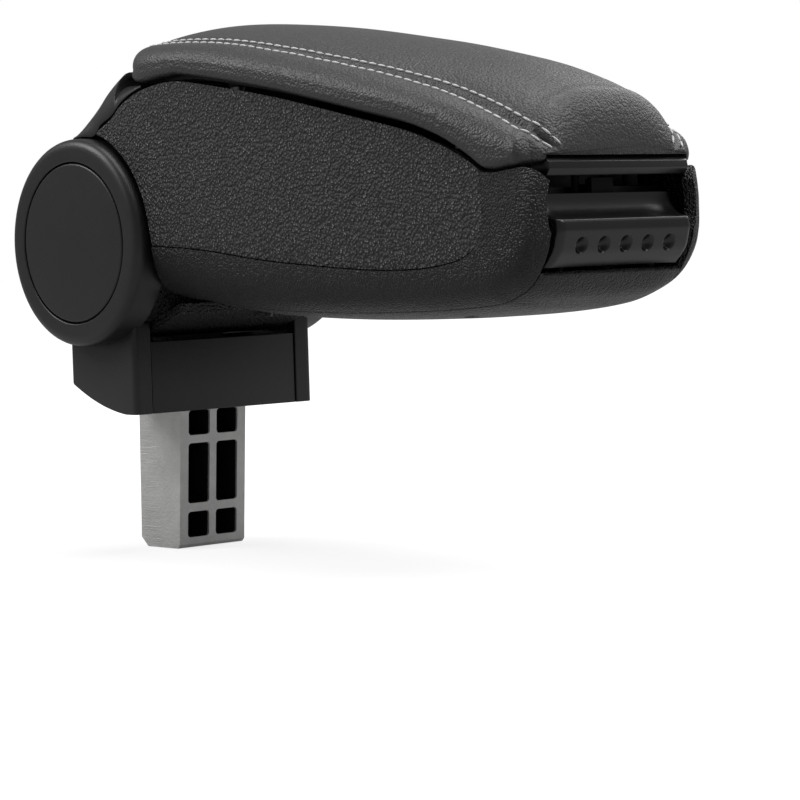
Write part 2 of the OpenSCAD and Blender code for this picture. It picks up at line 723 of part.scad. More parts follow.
module latch_handle() color(gloss_black) at_axle() {
    half = handle_half;
    difference() {
        intersection() {
            union() {
                side_extrude(-half, half) handle_outline();
                both_sides() side_extrude(half - handle_wall, half) handle_end_outline();
                both_sides() side_extrude(latch_ear_out + 0.4, latch_ear_out + 3) handle_end_outline();
                both_sides() translate([latch_x, 0, latch_z])
                    cross_shaft(4.2, latch_ear_out + 0.4, half);
            }
            translate([0, 0, -40]) linear_extrude(80) handle_plan_outline();
        }
        translate([latch_x, 0, latch_z]) cross_shaft(latch_pin_r + run_fit, -body_w, body_w);
        for (i = [0:dimple_count - 1])
            translate([plate_x + 0.9, (i - (dimple_count - 1) / 2) * dimple_pitch, plate_top - 9])
                sphere(r = dimple_r + 0.8, $fn = 32);
    }
}

module latch_hook() color(bright_steel) at_axle()
    side_extrude(-6, 6)
        polygon([[cove_top_x - 4.2, cove_top_z - 6], [cove_top_x - 2.3, cove_top_z - 6],
            [cove_top_x - 2.3, 19.2], [cove_top_x - 3.4, 19.6], [cove_top_x - 5.7, 18.4],
            [cove_top_x - 5.7, 17.2],
            [cove_top_x - 4.2, 16.8]]);

module latch_pivot_pin() color(bright_steel) at_axle()
    translate([latch_x, 0, latch_z]) cross_shaft(latch_pin_r, 2.1 - handle_half, handle_half - 2.1, $fn = 32);

// Coil of the return spring on the pivot pin, one ring of section points after another
spring_r = 3.4;
wire_r = 0.6;
spring_turns = 4;
spring_len = 12;
function spring_ring(k) = let(a = k * 30, y = -spring_len / 2 + spring_len * k / (12 * spring_turns))
    [for (b = [0:60:300]) [(spring_r + wire_r * cos(b)) * cos(a), y + wire_r * sin(b),
        (spring_r + wire_r * cos(b)) * sin(a)]];

module latch_spring() color(bright_steel) at_axle() translate([latch_x, 0, latch_z])
    loft([for (k = [12 * spring_turns:-1:0]) spring_ring(k)]);

// Cheek: the side cover of the foot with its drum ring and hub
hub_face = cheek_gap / 2;
drum_face = drum_w / 2;
well_r = 16;
well_floor = hub_face + 4;
cup_floor = drum_face - 3.9;
ring_wall = 3;

module drum_ring() turned_about_y() polygon([
    [drum_r, hub_face], [drum_r, drum_face - 3], [drum_r - 0.6, drum_face - 1.9],
    [drum_r - 2, drum_face - 0.7], [drum_r - 4, drum_face], [cap_r + 0.6, drum_face],
    [cap_r + 0.6, cup_floor], [well_r, cup_floor], [well_r, well_floor],
    [axle_r + 0.03, well_floor], [axle_r + 0.03, hub_face], [well_r + 2.5, hub_face],
    [well_r + 2.5, cup_floor - 2.6], [drum_r - ring_wall, cup_floor - 2.6],
    [drum_r - ring_wall, hub_face]]);

foot_low = -axle_height;
function foot_edge(x) = let(u = (18 - x) / (18 + foot_rear)) foot_low + foot_rise * (0.35 * u + 0.65 * u * u);

module leg_outline(inset) {
    steps = 8;
    polygon(concat(
        [[foot_front - inset, -36 + inset], [foot_front - inset, foot_low + inset]],
        [for (i = [0:steps]) let(x = 18 - (18 + foot_rear - inset) * i / steps)
            [x, foot_edge(x) + inset]],
        [[-foot_rear + inset, -42], [-14, -28], [18, -28]]));
}

module leg_plan() {
    out = foot_w / 2;
    round_front = 2.5;
    round_rear = 1.5;
    in = panel_w / 2;
    polygon(concat([[-foot_rear, in]], [[foot_front, in]],
        [for (a = [0:15:90]) [foot_front - round_front + round_front * cos(a),
            out - round_front + round_front * sin(a)]],
        [for (a = [90:15:180]) [-foot_rear + round_rear + round_rear * cos(a),
            out - round_rear + round_rear * sin(a)]]));
}

foot_screw_x = [4, 16];
foot_screw_y = panel_w / 2 - 8;
flange_t = 10;
flange_rear = -8;
flange_front = 22;
foot_reveal = 0.6;

module cheek_solid() {
    leg_in = panel_w / 2;
    leg_out = foot_w / 2;
    difference() {
        union() {
            drum_ring();
            difference() {
                intersection() {
                    side_extrude(leg_in, leg_out) leg_outline(0);
                    translate([0, 0, -100]) linear_extrude(100) leg_plan();
                }
                side_extrude(leg_in - cut, leg_out - foot_wall) leg_outline(foot_wall);
                cross_shaft(barrel_r + 0.8, 0, hub_face - 0.05, $fn = 96);
                cross_shaft(drum_r - ring_wall, 0, body_w, $fn = 96);
            }
            // tab that the screws of the casting's flange hold
            translate([flange_rear + 5, foot_screw_y - 5, foot_low + flange_t + 0.05])
                cube([flange_front - flange_rear - 6, leg_out - foot_wall / 2 - foot_screw_y + 5, 3]);
        }
        for (x = foot_screw_x) translate([x, foot_screw_y, foot_low]) cylinder(r = 2, h = 20, $fn = 32);
    }
}

module right_cheek() color(satin_black) at_axle() mirror([0, 1, 0]) cheek_solid();
module left_cheek() color(satin_black) at_axle() cheek_solid();

module cap_solid() turned_about_y() polygon([
    [0, drum_face], [cap_r - 0.8, drum_face], [cap_r, drum_face - 0.8], [cap_r, drum_face - 2.5],
    [well_r - 0.3, drum_face - 2.5], [well_r - 0.3, cup_floor - 2], [well_r - 2, cup_floor - 2],
    [well_r - 2, drum_face - 2.5], [0, drum_face - 2.5]]);

module right_cap() color(satin_black) at_axle() mirror([0, 1, 0]) cap_solid();
module left_cap() color(satin_black) at_axle() cap_solid();

module foot_screws() color(bright_steel) at_axle()
    both_sides() for (x = foot_screw_x) translate([x, foot_screw_y, screw_seat(x) - 2.4]) {
        cylinder(r = 3.6, h = 2.3, $fn = 32);
        cylinder(r = 1.9, h = foot_low + flange_t + 3 - screw_seat(x) + 2.4, $fn = 32);
    }

// Recessed panels between the cheeks
shelf_rear = 9;
module front_panel() color(satin_black) at_axle() {
    half = panel_w / 2 - 0.5;
    translate([foot_front - 2.9, -half, foot_low]) cube([2.4, 2 * half, panel_h]);
    // shelf that closes the foot below the barrel
    translate([shelf_rear, -half, foot_low + panel_h - 3.4]) cube([foot_front - 1 - shelf_rear, 2 * half, 2.4]);
    for (y = [-24, 24]) translate([flange_front + 0.1, y - 4, foot_low + 1])
        cube([foot_front - flange_front - 1.1, 8, flange_t - 1]);
}

module rear_panel() color(satin_black) at_axle() {
    half = panel_w / 2 - 0.5;
    low = foot_edge(-foot_rear + 2);
    translate([0.6 - foot_rear, -half, low]) cube([2.4, 2 * half, foot_low + panel_h - low]);
}

// Casting: stub, flange, neck and hinge hub in one piece of aluminium
stub_front = stub_d / 2 + axle_setback;
stub_rear = axle_setback - stub_d / 2;
stub_low = foot_low - stub_len;

// Seat of a foot screw's head, above the rising underside of the flange
function screw_seat(x) = foot_edge(x) + foot_reveal + 3.2;

// Flange with an underside that rises to the rear with the covers
module flange_outline() {
    steps = 8;
    polygon(concat(
        [[flange_rear, foot_low + flange_t], [flange_front, foot_low + flange_t], [flange_front, foot_low]],
        [for (i = [0:steps]) let(x = 18 - (18 - flange_rear) * i / steps)
            [x, foot_edge(x) + (i == 0 ? 0 : foot_reveal)]]));
}

module stub_windows() {
    clear_w = (stub_w - 2 * stub_wall - stub_bar) / 2;
    rows = [[-11.5, 11], [-41.5, 26.5], [-56.5, 11.3]];
    for (y = [stub_bar / 2, -stub_bar / 2 - clear_w], row = rows)
        translate([stub_front + cut, y, foot_low + row[0]])
            rotate([90, 0, -90]) translate([-clear_w, 0, 0]) linear_extrude(stub_d - 5 + cut)
                round_rect(clear_w, row[1], 1.6);
}

module stub_casting() color(cast_grey) at_axle() {
    difference() {
        union() {
            difference() {
                side_extrude(-stub_w / 2, stub_w / 2)
                    polygon([[stub_rear, foot_low + 2], [stub_front, foot_low + 2],
                        [stub_front - stub_draft, stub_low + 1.5], [stub_front - stub_draft - 1.5, stub_low],
                        [stub_rear + 3, stub_low], [stub_rear - 1.4, stub_low + 4]]);
                stub_windows();
            }
            side_extrude(3 - panel_w / 2, panel_w / 2 - 3) flange_outline();
            translate([stub_rear, -stub_w / 2, foot_low]) cube([stub_front - stub_rear, stub_w, flange_t]);
            rotate([90, 0, 90]) translate([0, 0, -7]) linear_extrude(14)
                polygon([[-22, foot_low + flange_t - cut], [22, foot_low + flange_t - cut],
                    [hub_half, foot_low + 26], [hub_half, -10], [-hub_half, -10], [-hub_half, foot_low + 26]]);
            cross_shaft(14, -hub_half, hub_half);
            cross_shaft(stop_ring_r + 5, -8, 8);
        }
        cross_shaft(axle_r + 0.02, -body_w, body_w);
        translate([0, 0, stop_ring_r]) cross_shaft(stop_pin_r + 0.02, -body_w, body_w, $fn = 32);
        both_sides() for (x = foot_screw_x) translate([x, foot_screw_y, foot_low - cut]) {
            cylinder(r = 4, h = screw_seat(x) - foot_low + cut, $fn = 32);
            cylinder(r = 2.1, h = 20, $fn = 32);
        }
    }
}

module hinge_axle() color(bright_steel) at_axle() {
    cross_shaft(axle_r, -well_floor - cut, well_floor + 7);
    cross_shaft(10, -well_floor - 4.5, -well_floor - 0.02);
}

module axle_nut() color(bright_steel) at_axle()
    difference() {
        cross_shaft(9, well_floor + 0.05, well_floor + 5.5, $fn = 6);
        cross_shaft(axle_r + 0.02, 0, body_w);
    }

module friction_washers() color(bright_steel) at_axle()
    both_sides() difference() {
        cross_shaft(12, hub_half + 0.02, hub_half + washer_t);
        cross_shaft(axle_r + 0.05, 0, body_w);
    }

module stop_pin() color(bright_steel) at_axle()
    translate([0, 0, stop_ring_r]) cross_shaft(stop_pin_r, -web_from - web_t, web_from + web_t, $fn = 32);

stub_casting();
right_cheek();
left_cheek();
right_cap();
left_cap();
front_panel();
rear_panel();
hinge_axle();
axle_nut();
friction_washers();
stop_pin();
foot_screws();
hinge_barrel();
barrel_bushes();
belly_shell();
right_side_shell();
left_side_shell();
right_side_panel();
left_side_panel();
rear_cover();
storage_bin();
bin_mat();
front_crossbar();
lid_hinge_pin();
latch_pivot_pin();
latch_spring();
shell_screws();
lid_tray();
lid_trim_bar();
lid_cushion();
lid_liner();
lid_striker();
lid_screws();
lid_bumpers();
latch_handle();
latch_hook();
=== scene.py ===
import bmesh
import bpy
import numpy as np
from mathutils import Matrix, Vector
from mathutils.kdtree import KDTree


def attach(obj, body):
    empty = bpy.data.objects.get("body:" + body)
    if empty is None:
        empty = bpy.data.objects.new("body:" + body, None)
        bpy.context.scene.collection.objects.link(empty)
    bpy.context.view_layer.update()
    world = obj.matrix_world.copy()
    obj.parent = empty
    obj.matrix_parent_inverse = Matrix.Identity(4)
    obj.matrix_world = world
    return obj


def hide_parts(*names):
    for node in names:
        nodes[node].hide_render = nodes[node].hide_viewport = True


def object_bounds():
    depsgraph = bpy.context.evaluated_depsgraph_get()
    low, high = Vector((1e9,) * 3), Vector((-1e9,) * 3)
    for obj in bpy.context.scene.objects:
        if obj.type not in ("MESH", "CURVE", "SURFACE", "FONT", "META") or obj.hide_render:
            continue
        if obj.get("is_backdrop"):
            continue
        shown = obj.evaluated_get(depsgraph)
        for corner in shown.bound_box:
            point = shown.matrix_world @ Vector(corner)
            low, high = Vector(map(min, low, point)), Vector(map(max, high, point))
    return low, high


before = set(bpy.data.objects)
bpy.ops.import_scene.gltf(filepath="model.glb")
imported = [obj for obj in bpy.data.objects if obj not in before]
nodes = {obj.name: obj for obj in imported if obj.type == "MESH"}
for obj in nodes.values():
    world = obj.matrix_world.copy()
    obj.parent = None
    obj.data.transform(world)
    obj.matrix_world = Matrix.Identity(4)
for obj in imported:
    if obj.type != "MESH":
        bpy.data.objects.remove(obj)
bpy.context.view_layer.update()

# The casting: a die-cast aluminium stub with two columns of weight-saving windows, which
# plugs into the console and carries the hinge hub. Its skin is cast, with faint
# machining lines on the rear half of its sides. The hollows of its windows and the part
# of it inside the foot are painted dark grey: painted shade.


class Wire:
    """A socket of a finish, so that sums of sockets can be written as sums."""

    def __init__(self, finish, socket):
        self.finish = finish
        self.socket = socket

    def maths(self, operation, first, second):
        return self.finish.add("ShaderNodeMath", {"operation": operation}, {0: first, 1: second})

    def __add__(self, other):
        return self.maths("ADD", self, other)

    def __sub__(self, other):
        return self.maths("SUBTRACT", self, other)

    def __mul__(self, other):
        return self.maths("MULTIPLY", self, other)

    def __lt__(self, other):
        return self.maths("LESS_THAN", self, other)

    def __gt__(self, other):
        return self.maths("GREATER_THAN", self, other)

    __radd__ = __add__
    __rmul__ = __mul__


def add_node(tree, kind, settings, sockets):
    """Adds a node to a tree, with its settings, its values and its links."""
    node = tree.nodes.new(kind)
    for key, value in (settings or {}).items():
        setattr(node, key, value)
    for key, value in (sockets or {}).items():
        if isinstance(value, bpy.types.NodeSocket):
            tree.links.new(value, node.inputs[key])
        else:
            node.inputs[key].default_value = value
    return node


class Finish:
    """One finish: a material, or the world round the armrest, and the nodes that make it."""

    def __init__(self, name, surround=None):
        self.material = surround or bpy.data.materials.new(name)
        self.material.use_nodes = True
        self.tree = self.material.node_tree
        self.tree.nodes.clear()
        self.place = self.add("ShaderNodeTexCoord", output="Object")

    def add(self, kind, settings=None, sockets=None, output=0):
        sockets = {key: value.socket if isinstance(value, Wire) else value
                   for key, value in (sockets or {}).items()}
        node = add_node(self.tree, kind, settings, sockets)
        return Wire(self, node.outputs[output]) if len(node.outputs) else None

    def laid(self, stretch):
        """Object coordinates, stretched."""
        return self.add("ShaderNodeMapping", {"vector_type": "POINT"},
                        {"Vector": self.place, "Scale": stretch})

    def noise(self, size, detail=2.0, stretch=(1, 1, 1)):
        return self.add("ShaderNodeTexNoise", None,
                        {"Vector": self.laid(stretch), "Scale": 1 / size,
                         "Detail": detail, "Roughness": 0.55})

    def cells(self, size, stretch=(1, 1, 1)):
        return self.add("ShaderNodeTexVoronoi", {"feature": "F1"},
                        {"Vector": self.laid(stretch), "Scale": 1 / size})

    def ramp(self, value, low, high):
        """Smooth step of a value from 0 at low to 1 at high."""
        return self.add("ShaderNodeMapRange", {"interpolation_type": "SMOOTHSTEP"},
                        {"Value": value, "From Min": low, "From Max": high})

    def between(self, mask, dark, light):
        return self.add("ShaderNodeMix", {"data_type": "RGBA"}, {0: mask, 6: dark, 7: light}, 2)

    def bump(self, height, depth):
        return self.add("ShaderNodeBump", None,
                        {"Height": height, "Distance": depth, "Strength": 1.0})

    def shade(self, **sockets):
        named = {key.replace("_", " "): value for key, value in sockets.items()}
        surface = self.add("ShaderNodeBsdfPrincipled", None, named)
        self.add("ShaderNodeOutputMaterial", None, {"Surface": surface})


def grey(level, warm=1.0):
    """Linear colour of a grey of 0 to 255 on the screen."""
    value = ((level / 255 + 0.055) / 1.055) ** 2.4
    return (value * warm, value, value / warm, 1.0)


def dress(finish, *names):
    """Gives CAD nodes their finish."""
    for name in names:
        for held in nodes[name].material_slots:
            held.material = finish.material


STUB_FRONT = 0.0145
STUB_RAKE = 4 / 61
STUB_REAR = -0.0145
STUB_ROOT = 0.0005
WINDOW_OUT = 0.0140
WINDOW_LOW = -0.0585
WINDOW_LIP = 0.0012
WINDOW_BACK = 0.003
MACHINED_X = -0.003

cast = Finish("cast_aluminium")
cast_x = cast.add("ShaderNodeSeparateXYZ", None, {0: cast.place}, "X")
cast_y = cast.add("ShaderNodeSeparateXYZ", None, {0: cast.place}, "Y")
cast_z = cast.add("ShaderNodeSeparateXYZ", None, {0: cast.place}, "Z")
cast_lines = cast.noise(0.0006, 1.0, stretch=(0.02, 0.02, 1)) * (cast_x < MACHINED_X)
cast_skin = cast.noise(0.0011, 3.0) + 0.5 * cast.noise(0.006, 2.0)
# Painted shade: dark grey in the hollows of the windows and on the casting inside the foot
painted_window_shade = ((cast_y * cast_y < WINDOW_OUT ** 2) * (cast_z < STUB_ROOT) * (cast_z > WINDOW_LOW)
             * (cast_x < STUB_FRONT - WINDOW_LIP + STUB_RAKE * cast_z)
             * (cast_x > STUB_REAR + WINDOW_BACK))
painted_shade_above_foot = cast_z > STUB_ROOT
cast_tone = cast.between(0.75 * cast.noise(0.012, 4.0) + 0.25 * cast.noise(0.0022, 3.0),
                         grey(186, 1.01), grey(236, 1.01))
cast.shade(
    Base_Color=cast.between(painted_window_shade + painted_shade_above_foot, cast_tone, grey(34)),
    Metallic=0.45,
    Roughness=0.38 + 0.2 * cast.noise(0.004, 3.0),
    Normal=cast.bump(cast_skin + 0.8 * cast_lines, 0.00028))
dress(cast, "stub_casting")

# Steel fittings: the hinge axle with its nut and friction washers, the pins, the screws,
# the latch spring, hook and striker. They are turned or pressed from plated steel
# and sit in the bores and bosses of the mouldings.
steel = Finish("bright_steel")
steel.shade(
    Base_Color=steel.between(steel.noise(0.003, 3.0), grey(170), grey(205)),
    Metallic=1.0,
    Roughness=0.24 + 0.2 * steel.noise(0.0012, 2.0, stretch=(1, 0.1, 1)),
    Normal=steel.bump(steel.noise(0.0005, 1.0, stretch=(1, 0.1, 1)), 0.00003))
dress(steel, "hinge_axle", "axle_nut", "friction_washers", "stop_pin", "foot_screws",
      "lid_hinge_pin", "latch_pivot_pin", "latch_spring", "shell_screws", "lid_screws")

# Painted shade: the latch hook and the striker sit in the shade of the front opening and are
# painted near-black
shade_painted_steel = Finish("blacked_steel")
shade_painted_steel.shade(
    Base_Color=shade_painted_steel.between(shade_painted_steel.noise(0.003, 3.0), grey(8), grey(15)),
    Roughness=0.5 + 0.15 * shade_painted_steel.noise(0.0012, 2.0),
    Specular_IOR_Level=0.15,
    Normal=shade_painted_steel.bump(shade_painted_steel.noise(0.0005, 1.0), 0.00003))
dress(shade_painted_steel, "lid_striker", "latch_hook")

# Soft fittings: rubber bushes on the axle and rubber stops under the lid, and the felt
# that lines the bin's floor and the underside of the lid. They are cut parts, glued
# or pushed into place.
rubber = Finish("soft_rubber")
rubber.shade(
    Base_Color=rubber.between(rubber.noise(0.002, 2.0), grey(26), grey(36)),
    Roughness=0.82,
    Normal=rubber.bump(rubber.noise(0.0006, 2.0), 0.00008))
dress(rubber, "barrel_bushes", "lid_bumpers")

felt = Finish("dark_felt")
felt.shade(
    Base_Color=felt.between(felt.noise(0.0016, 4.0), grey(28), grey(54)),
    Roughness=0.95,
    Sheen_Weight=0.4,
    Normal=felt.bump(felt.noise(0.0005, 4.0), 0.0005))
dress(felt, "bin_mat", "lid_liner")

# Cheeks: the two moulded side covers of the foot. Each carries a drum ring, whose face
# holds a round cap, and stands on the casting's flange, where screws hold its tab.
# They are satin black plastic.
DRUM_R = 44.5
DRUM_FACE = 61.5
DRUM_INNER = 46.0
CAP_R = 34.0
CAP_SEAT = 57.6
HUB_FACE = 50.0
LEG_TOP_R = 43.0
TAB_LOW = -63.95
TAB_TOP = -60.95
FOOT_LOW = -74.0
FOOT_FRONT = 25.5
FOOT_REAR = 19.0
PANEL_HALF = 41.0
LEG_OUT = 50.0
LEG_WALL = 3.0
AXLE = np.array([-2.0, 0.0, 74.0])
MM = 0.001


def rounded(corners, steps=5):
    """Polygon of (a, b, radius) corners with each corner rounded by its radius."""
    spots = np.array([c[:2] for c in corners], float)
    outline = []
    for i, (spot, corner) in enumerate(zip(spots, corners)):
        before = spots[i - 1] - spot
        after = spots[(i + 1) % len(spots)] - spot
        run_before = np.linalg.norm(before)
        run_after = np.linalg.norm(after)
        before /= run_before
        after /= run_after
        radius = corner[2] if len(corner) > 2 else 0
        half = np.arccos(np.clip(before @ after, -1, 1)) / 2
        reach = min(radius / max(np.tan(half), 1e-6), 0.48 * run_before, 0.48 * run_after)
        if reach < 1e-3:
            outline.append(spot)
            continue
        for u in np.linspace(0, 1, steps + 1):
            start, end = spot + before * reach, spot + after * reach
            outline.append((1 - u) ** 2 * start + 2 * u * (1 - u) * spot + u * u * end)
    return np.array(outline)


def loft(sections, closed=False):
    """Skin over closed sections, one behind the other, with flat ends unless closed."""
    sections = np.asarray(sections, float)
    count, around = sections.shape[:2]
    last = count if closed else count - 1
    faces = [(k * around + i, k * around + (i + 1) % around,
              (k + 1) % count * around + (i + 1) % around, (k + 1) % count * around + i)
             for k in range(last) for i in range(around)]
    if not closed:
        faces += [tuple(range(around))[::-1], tuple(range((count - 1) * around, count * around))]
    return sections.reshape(-1, 3), faces


def lathe(profile, steps=180):
    """Closed profile of (radius, y) turned about the hinge axle."""
    profile = np.asarray(profile, float)
    turn = np.linspace(0, 2 * np.pi, steps, endpoint=False)[:, None]
    return loft(np.stack([np.cos(turn) * profile[:, 0], np.ones_like(turn) * profile[:, 1],
                          np.sin(turn) * profile[:, 0]], -1), closed=True)


def prism(outline, y_from, y_to):
    """Outline in (x, z) drawn out along Y."""
    outline = np.asarray(outline, float)
    return loft([[(x, y, z) for x, z in outline] for y in (y_from, y_to)])


def both_prisms(outline, y_from, y_to):
    """Two like plates, one on each side of the middle."""
    return [prism(outline, y_from, y_to), prism(outline, -y_to, -y_from)]


def mirrored(solid):
    points, faces = solid
    return points * (1, -1, 1), [face[::-1] for face in faces]


def place(name, data):
    """Object at the origin with its data, in the scene."""
    piece = bpy.data.objects.new(name, data)
    bpy.context.scene.collection.objects.link(piece)
    return piece


def soften(piece, edge, sharp):
    """Rounds a moulding's edges, as its mould does."""
    bevel = piece.modifiers.new("edges", "BEVEL")
    bevel.width = edge * MM
    bevel.segments = 3
    bevel.limit_method = "ANGLE"
    bevel.angle_limit = np.radians(sharp)


def make(name, solids, edge=0.0):
    """Object in metres from solids in mm about the axle, with its edges rounded."""
    points, faces = [], []
    for more_points, more_faces in solids:
        start = sum(len(p) for p in points)
        points.append(np.asarray(more_points, float))
        faces += [tuple(v + start for v in face) for face in more_faces]
    mesh = bpy.data.meshes.new(name)
    mesh.from_pydata(((np.concatenate(points) + AXLE) * MM).tolist(), [], faces)
    shell = bmesh.new()
    shell.from_mesh(mesh)
    bmesh.ops.remove_doubles(shell, verts=shell.verts, dist=1e-6)
    bmesh.ops.dissolve_degenerate(shell, edges=shell.edges, dist=1e-7)
    bmesh.ops.recalc_face_normals(shell, faces=shell.faces)
    shell.to_mesh(mesh)
    shell.free()
    piece = place(name, mesh)
    if edge:
        soften(piece, edge, 38)
    return piece


def settle(piece, sharp=35):
    """Bakes a piece's modifiers into its mesh, and smooths its shading."""
    if len(piece.modifiers):
        graph = bpy.context.evaluated_depsgraph_get()
        mesh = bpy.data.meshes.new_from_object(piece.evaluated_get(graph))
        piece.modifiers.clear()
        piece.data = mesh
    mesh = piece.data
    mesh.polygons.foreach_set("use_smooth", [True] * len(mesh.polygons))
    mesh.set_sharp_from_angle(angle=np.radians(sharp))
    return piece


def fit(piece, finish, body, slot, *stands_for):
    """Gives a piece its finish and its body, and hides the CAD nodes that it stands for."""
    piece.data.materials.clear()
    piece.data.materials.append(finish.material)
    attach(piece, body)
    if stands_for:
        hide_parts(*stands_for)


def foot_edge(x):
    u = (18 - x) / (18 + FOOT_REAR)
    return FOOT_LOW + 13 * (0.35 * np.maximum(u, 0) + 0.65 * u * u) * (u > 0)


def spaced(line, count):
    """Points at equal steps along a line."""
    line = np.asarray(line, float)
    run = np.concatenate([[0], np.cumsum(np.linalg.norm(np.diff(line, axis=0), axis=1))])
    at = np.linspace(0, run[-1], count)
    return np.stack([np.interp(at, run, line[:, k]) for k in range(line.shape[1])], -1)


satin = Finish("satin_black")
satin_skin = satin.noise(0.0007, 2.0) + 0.6 * satin.cells(0.0009)
satin.shade(
    Base_Color=satin.between(satin.noise(0.02, 3.0), grey(18), grey(24)),
    Roughness=0.36 + 0.1 * satin.noise(0.008, 3.0),
    Specular_IOR_Level=0.5,
    Normal=satin.bump(satin_skin, 0.00004))

ring = lathe(rounded([
    (41.5, DRUM_INNER), (DRUM_R, DRUM_INNER, 0.3), (DRUM_R, DRUM_FACE, 7.5),
    (CAP_R + 0.6, DRUM_FACE, 0.8), (CAP_R + 0.6, CAP_SEAT), (16, CAP_SEAT), (16, HUB_FACE),
    (6.03, HUB_FACE), (6.03, DRUM_INNER), (18.5, DRUM_INNER), (18.5, 55), (41.5, 55)], steps=8))
leg_outer = spaced(rounded([(FOOT_FRONT, PANEL_HALF), (FOOT_FRONT, LEG_OUT, 2.5),
                            (-FOOT_REAR, LEG_OUT, 1.5), (-FOOT_REAR, PANEL_HALF)], 8), 90)
leg_inner = spaced([(FOOT_FRONT - LEG_WALL, PANEL_HALF),
                    (FOOT_FRONT - LEG_WALL, LEG_OUT - LEG_WALL),
                    (LEG_WALL - FOOT_REAR, LEG_OUT - LEG_WALL),
                    (LEG_WALL - FOOT_REAR, PANEL_HALF)], 90)
leg = loft([[(x, y, z) for (x, y), z in
             [(o, foot_edge(o[0])), (o, -(LEG_TOP_R ** 2 - o[0] ** 2) ** 0.5),
              (i, -(LEG_TOP_R ** 2 - i[0] ** 2) ** 0.5), (i, foot_edge(i[0]))]]
            for o, i in zip(leg_outer, leg_inner)])
tab = prism([(-3, TAB_LOW), (21, TAB_LOW), (21, TAB_TOP), (-3, TAB_TOP)], 28, 48.5)
BOTH_SIDES = (("left", lambda solid: solid), ("right", mirrored))
for side, turned in BOTH_SIDES:
    cheek = make(side + "_cheek_cover", [turned(ring), turned(leg), turned(tab)], edge=0.5)
    fit(settle(cheek), satin, "foot", "satin_black", side + "_cheek")

# Caps: round covers of satin black plastic. Each snaps by a short collar into its drum
# face, over the axle's head or nut, and leaves a fine groove all round.
CAP_TOP = DRUM_FACE - 0.05
CAP_BACK = 59.0
COLLAR_END = 55.6
cap = lathe(rounded([
    (0, CAP_TOP), (CAP_R, CAP_TOP, 1.0), (CAP_R, CAP_BACK), (15.7, CAP_BACK),
    (15.7, COLLAR_END), (14, COLLAR_END), (14, CAP_BACK), (0, CAP_BACK)], steps=6))
for side, turned in BOTH_SIDES:
    disc = make(side + "_drum_cap", [turned(cap)])
    fit(settle(disc), satin, "foot", "satin_black", side + "_cap")

# Foot panels: plain covers between the two cheeks, front and rear, that hide the casting.
# They are satin plastic with softened edges, set back a little from the cheeks.
COVER_SPAN = 40.5
COVER_TOP_Z = -43.0


def slab(x_from, x_to, z_from, z_to, y_from=-COVER_SPAN, y_to=COVER_SPAN):
    return prism([(x_from, z_from), (x_to, z_from), (x_to, z_to), (x_from, z_to)], y_from, y_to)


front_cover = make("foot_front_cover", [
    slab(22.6, 25, FOOT_LOW, COVER_TOP_Z), slab(9, 24.5, -46.4, -44),
    slab(22.2, 24, -73, -64, -28, -20), slab(22.2, 24, -73, -64, 20, 28)], edge=0.5)
fit(settle(front_cover), satin, "foot", "satin_black", "front_panel")
rear_low = float(foot_edge(2 - FOOT_REAR))
back_cover = make("foot_rear_cover", [slab(-18.4, -16, rear_low, COVER_TOP_Z)], edge=0.5)
fit(settle(back_cover), satin, "foot", "satin_black", "rear_panel")

# Body form: the side shells, side panels and belly shell are moulded to one flowing form,
# widest a little above half its height and closing in towards the nose. Grained
# black shells carry it; their wall is 2.6 mm, and 5 mm where a panel is let in.
BODY_LEN = 263.0
BODY_W = 115.0
BELLY_DEPTH = 34.5
SIDE_H = 65.5
BELLY_HALF = 39.7
ARC_R = 47.0
MIDDLE_SHARE = 0.56
UPPER_TAPER = 0.04
SHELL_WALL = 2.6
PANEL_WALL = 2.2
PANEL_GAP = 0.45
WIDTH_SHARE = [[0, 1], [0.2, 1], [0.4, 0.99], [0.6, 0.965], [0.76, 0.928], [0.86, 0.904],
               [0.91, 0.893], [0.95, 0.875], [0.974, 0.85], [0.989, 0.808], [0.997, 0.757],
               [1, 0.72]]
BELLY_SHARE = [[0, 0.7], [0.19, 0.78], [0.27, 0.87], [0.38, 0.955], [0.55, 1], [0.74, 0.985],
               [0.83, 0.95], [0.9, 0.885], [0.93, 0.81], [0.957, 0.71], [0.975, 0.57],
               [0.99, 0.4], [1, 0.25]]
TOP_SHARE = [[0, 0.62], [0.03, 0.68], [0.05, 0.735], [0.078, 0.79], [0.105, 0.872],
             [0.145, 0.945], [0.197, 0.99], [0.247, 1], [0.32, 0.962], [0.456, 0.87],
             [0.547, 0.794], [0.65, 0.7], [0.753, 0.603], [0.829, 0.495], [0.875, 0.405],
             [0.905, 0.34], [0.95, 0.35], [1, 0.38]]
CORNER_POWER = 3.8


def curve(table, at):
    """Smooth curve through a table of station and value pairs."""
    table = np.asarray(table, float)
    at = np.clip(np.asarray(at, float), table[0, 0], table[-1, 0])
    i = np.clip(np.searchsorted(table[:, 0], at, side="right") - 1, 0, len(table) - 2)
    low = np.maximum(np.arange(len(table)) - 1, 0)
    high = np.minimum(np.arange(len(table)) + 1, len(table) - 1)
    slope = (table[high, 1] - table[low, 1]) / (table[high, 0] - table[low, 0])
    run = table[i + 1, 0] - table[i, 0]
    u = (at - table[i, 0]) / run
    return (table[i, 1] * (2 * u ** 3 - 3 * u ** 2 + 1) + slope[i] * run * (u ** 3 - 2 * u ** 2 + u)
            + table[i + 1, 1] * (3 * u ** 2 - 2 * u ** 3) + slope[i + 1] * run * (u ** 3 - u ** 2))


def half_width(x):
    return BODY_W / 2 * curve(WIDTH_SHARE, np.asarray(x) / BODY_LEN)


def belly(x):
    return -BELLY_DEPTH * curve(BELLY_SHARE, np.asarray(x) / BODY_LEN)


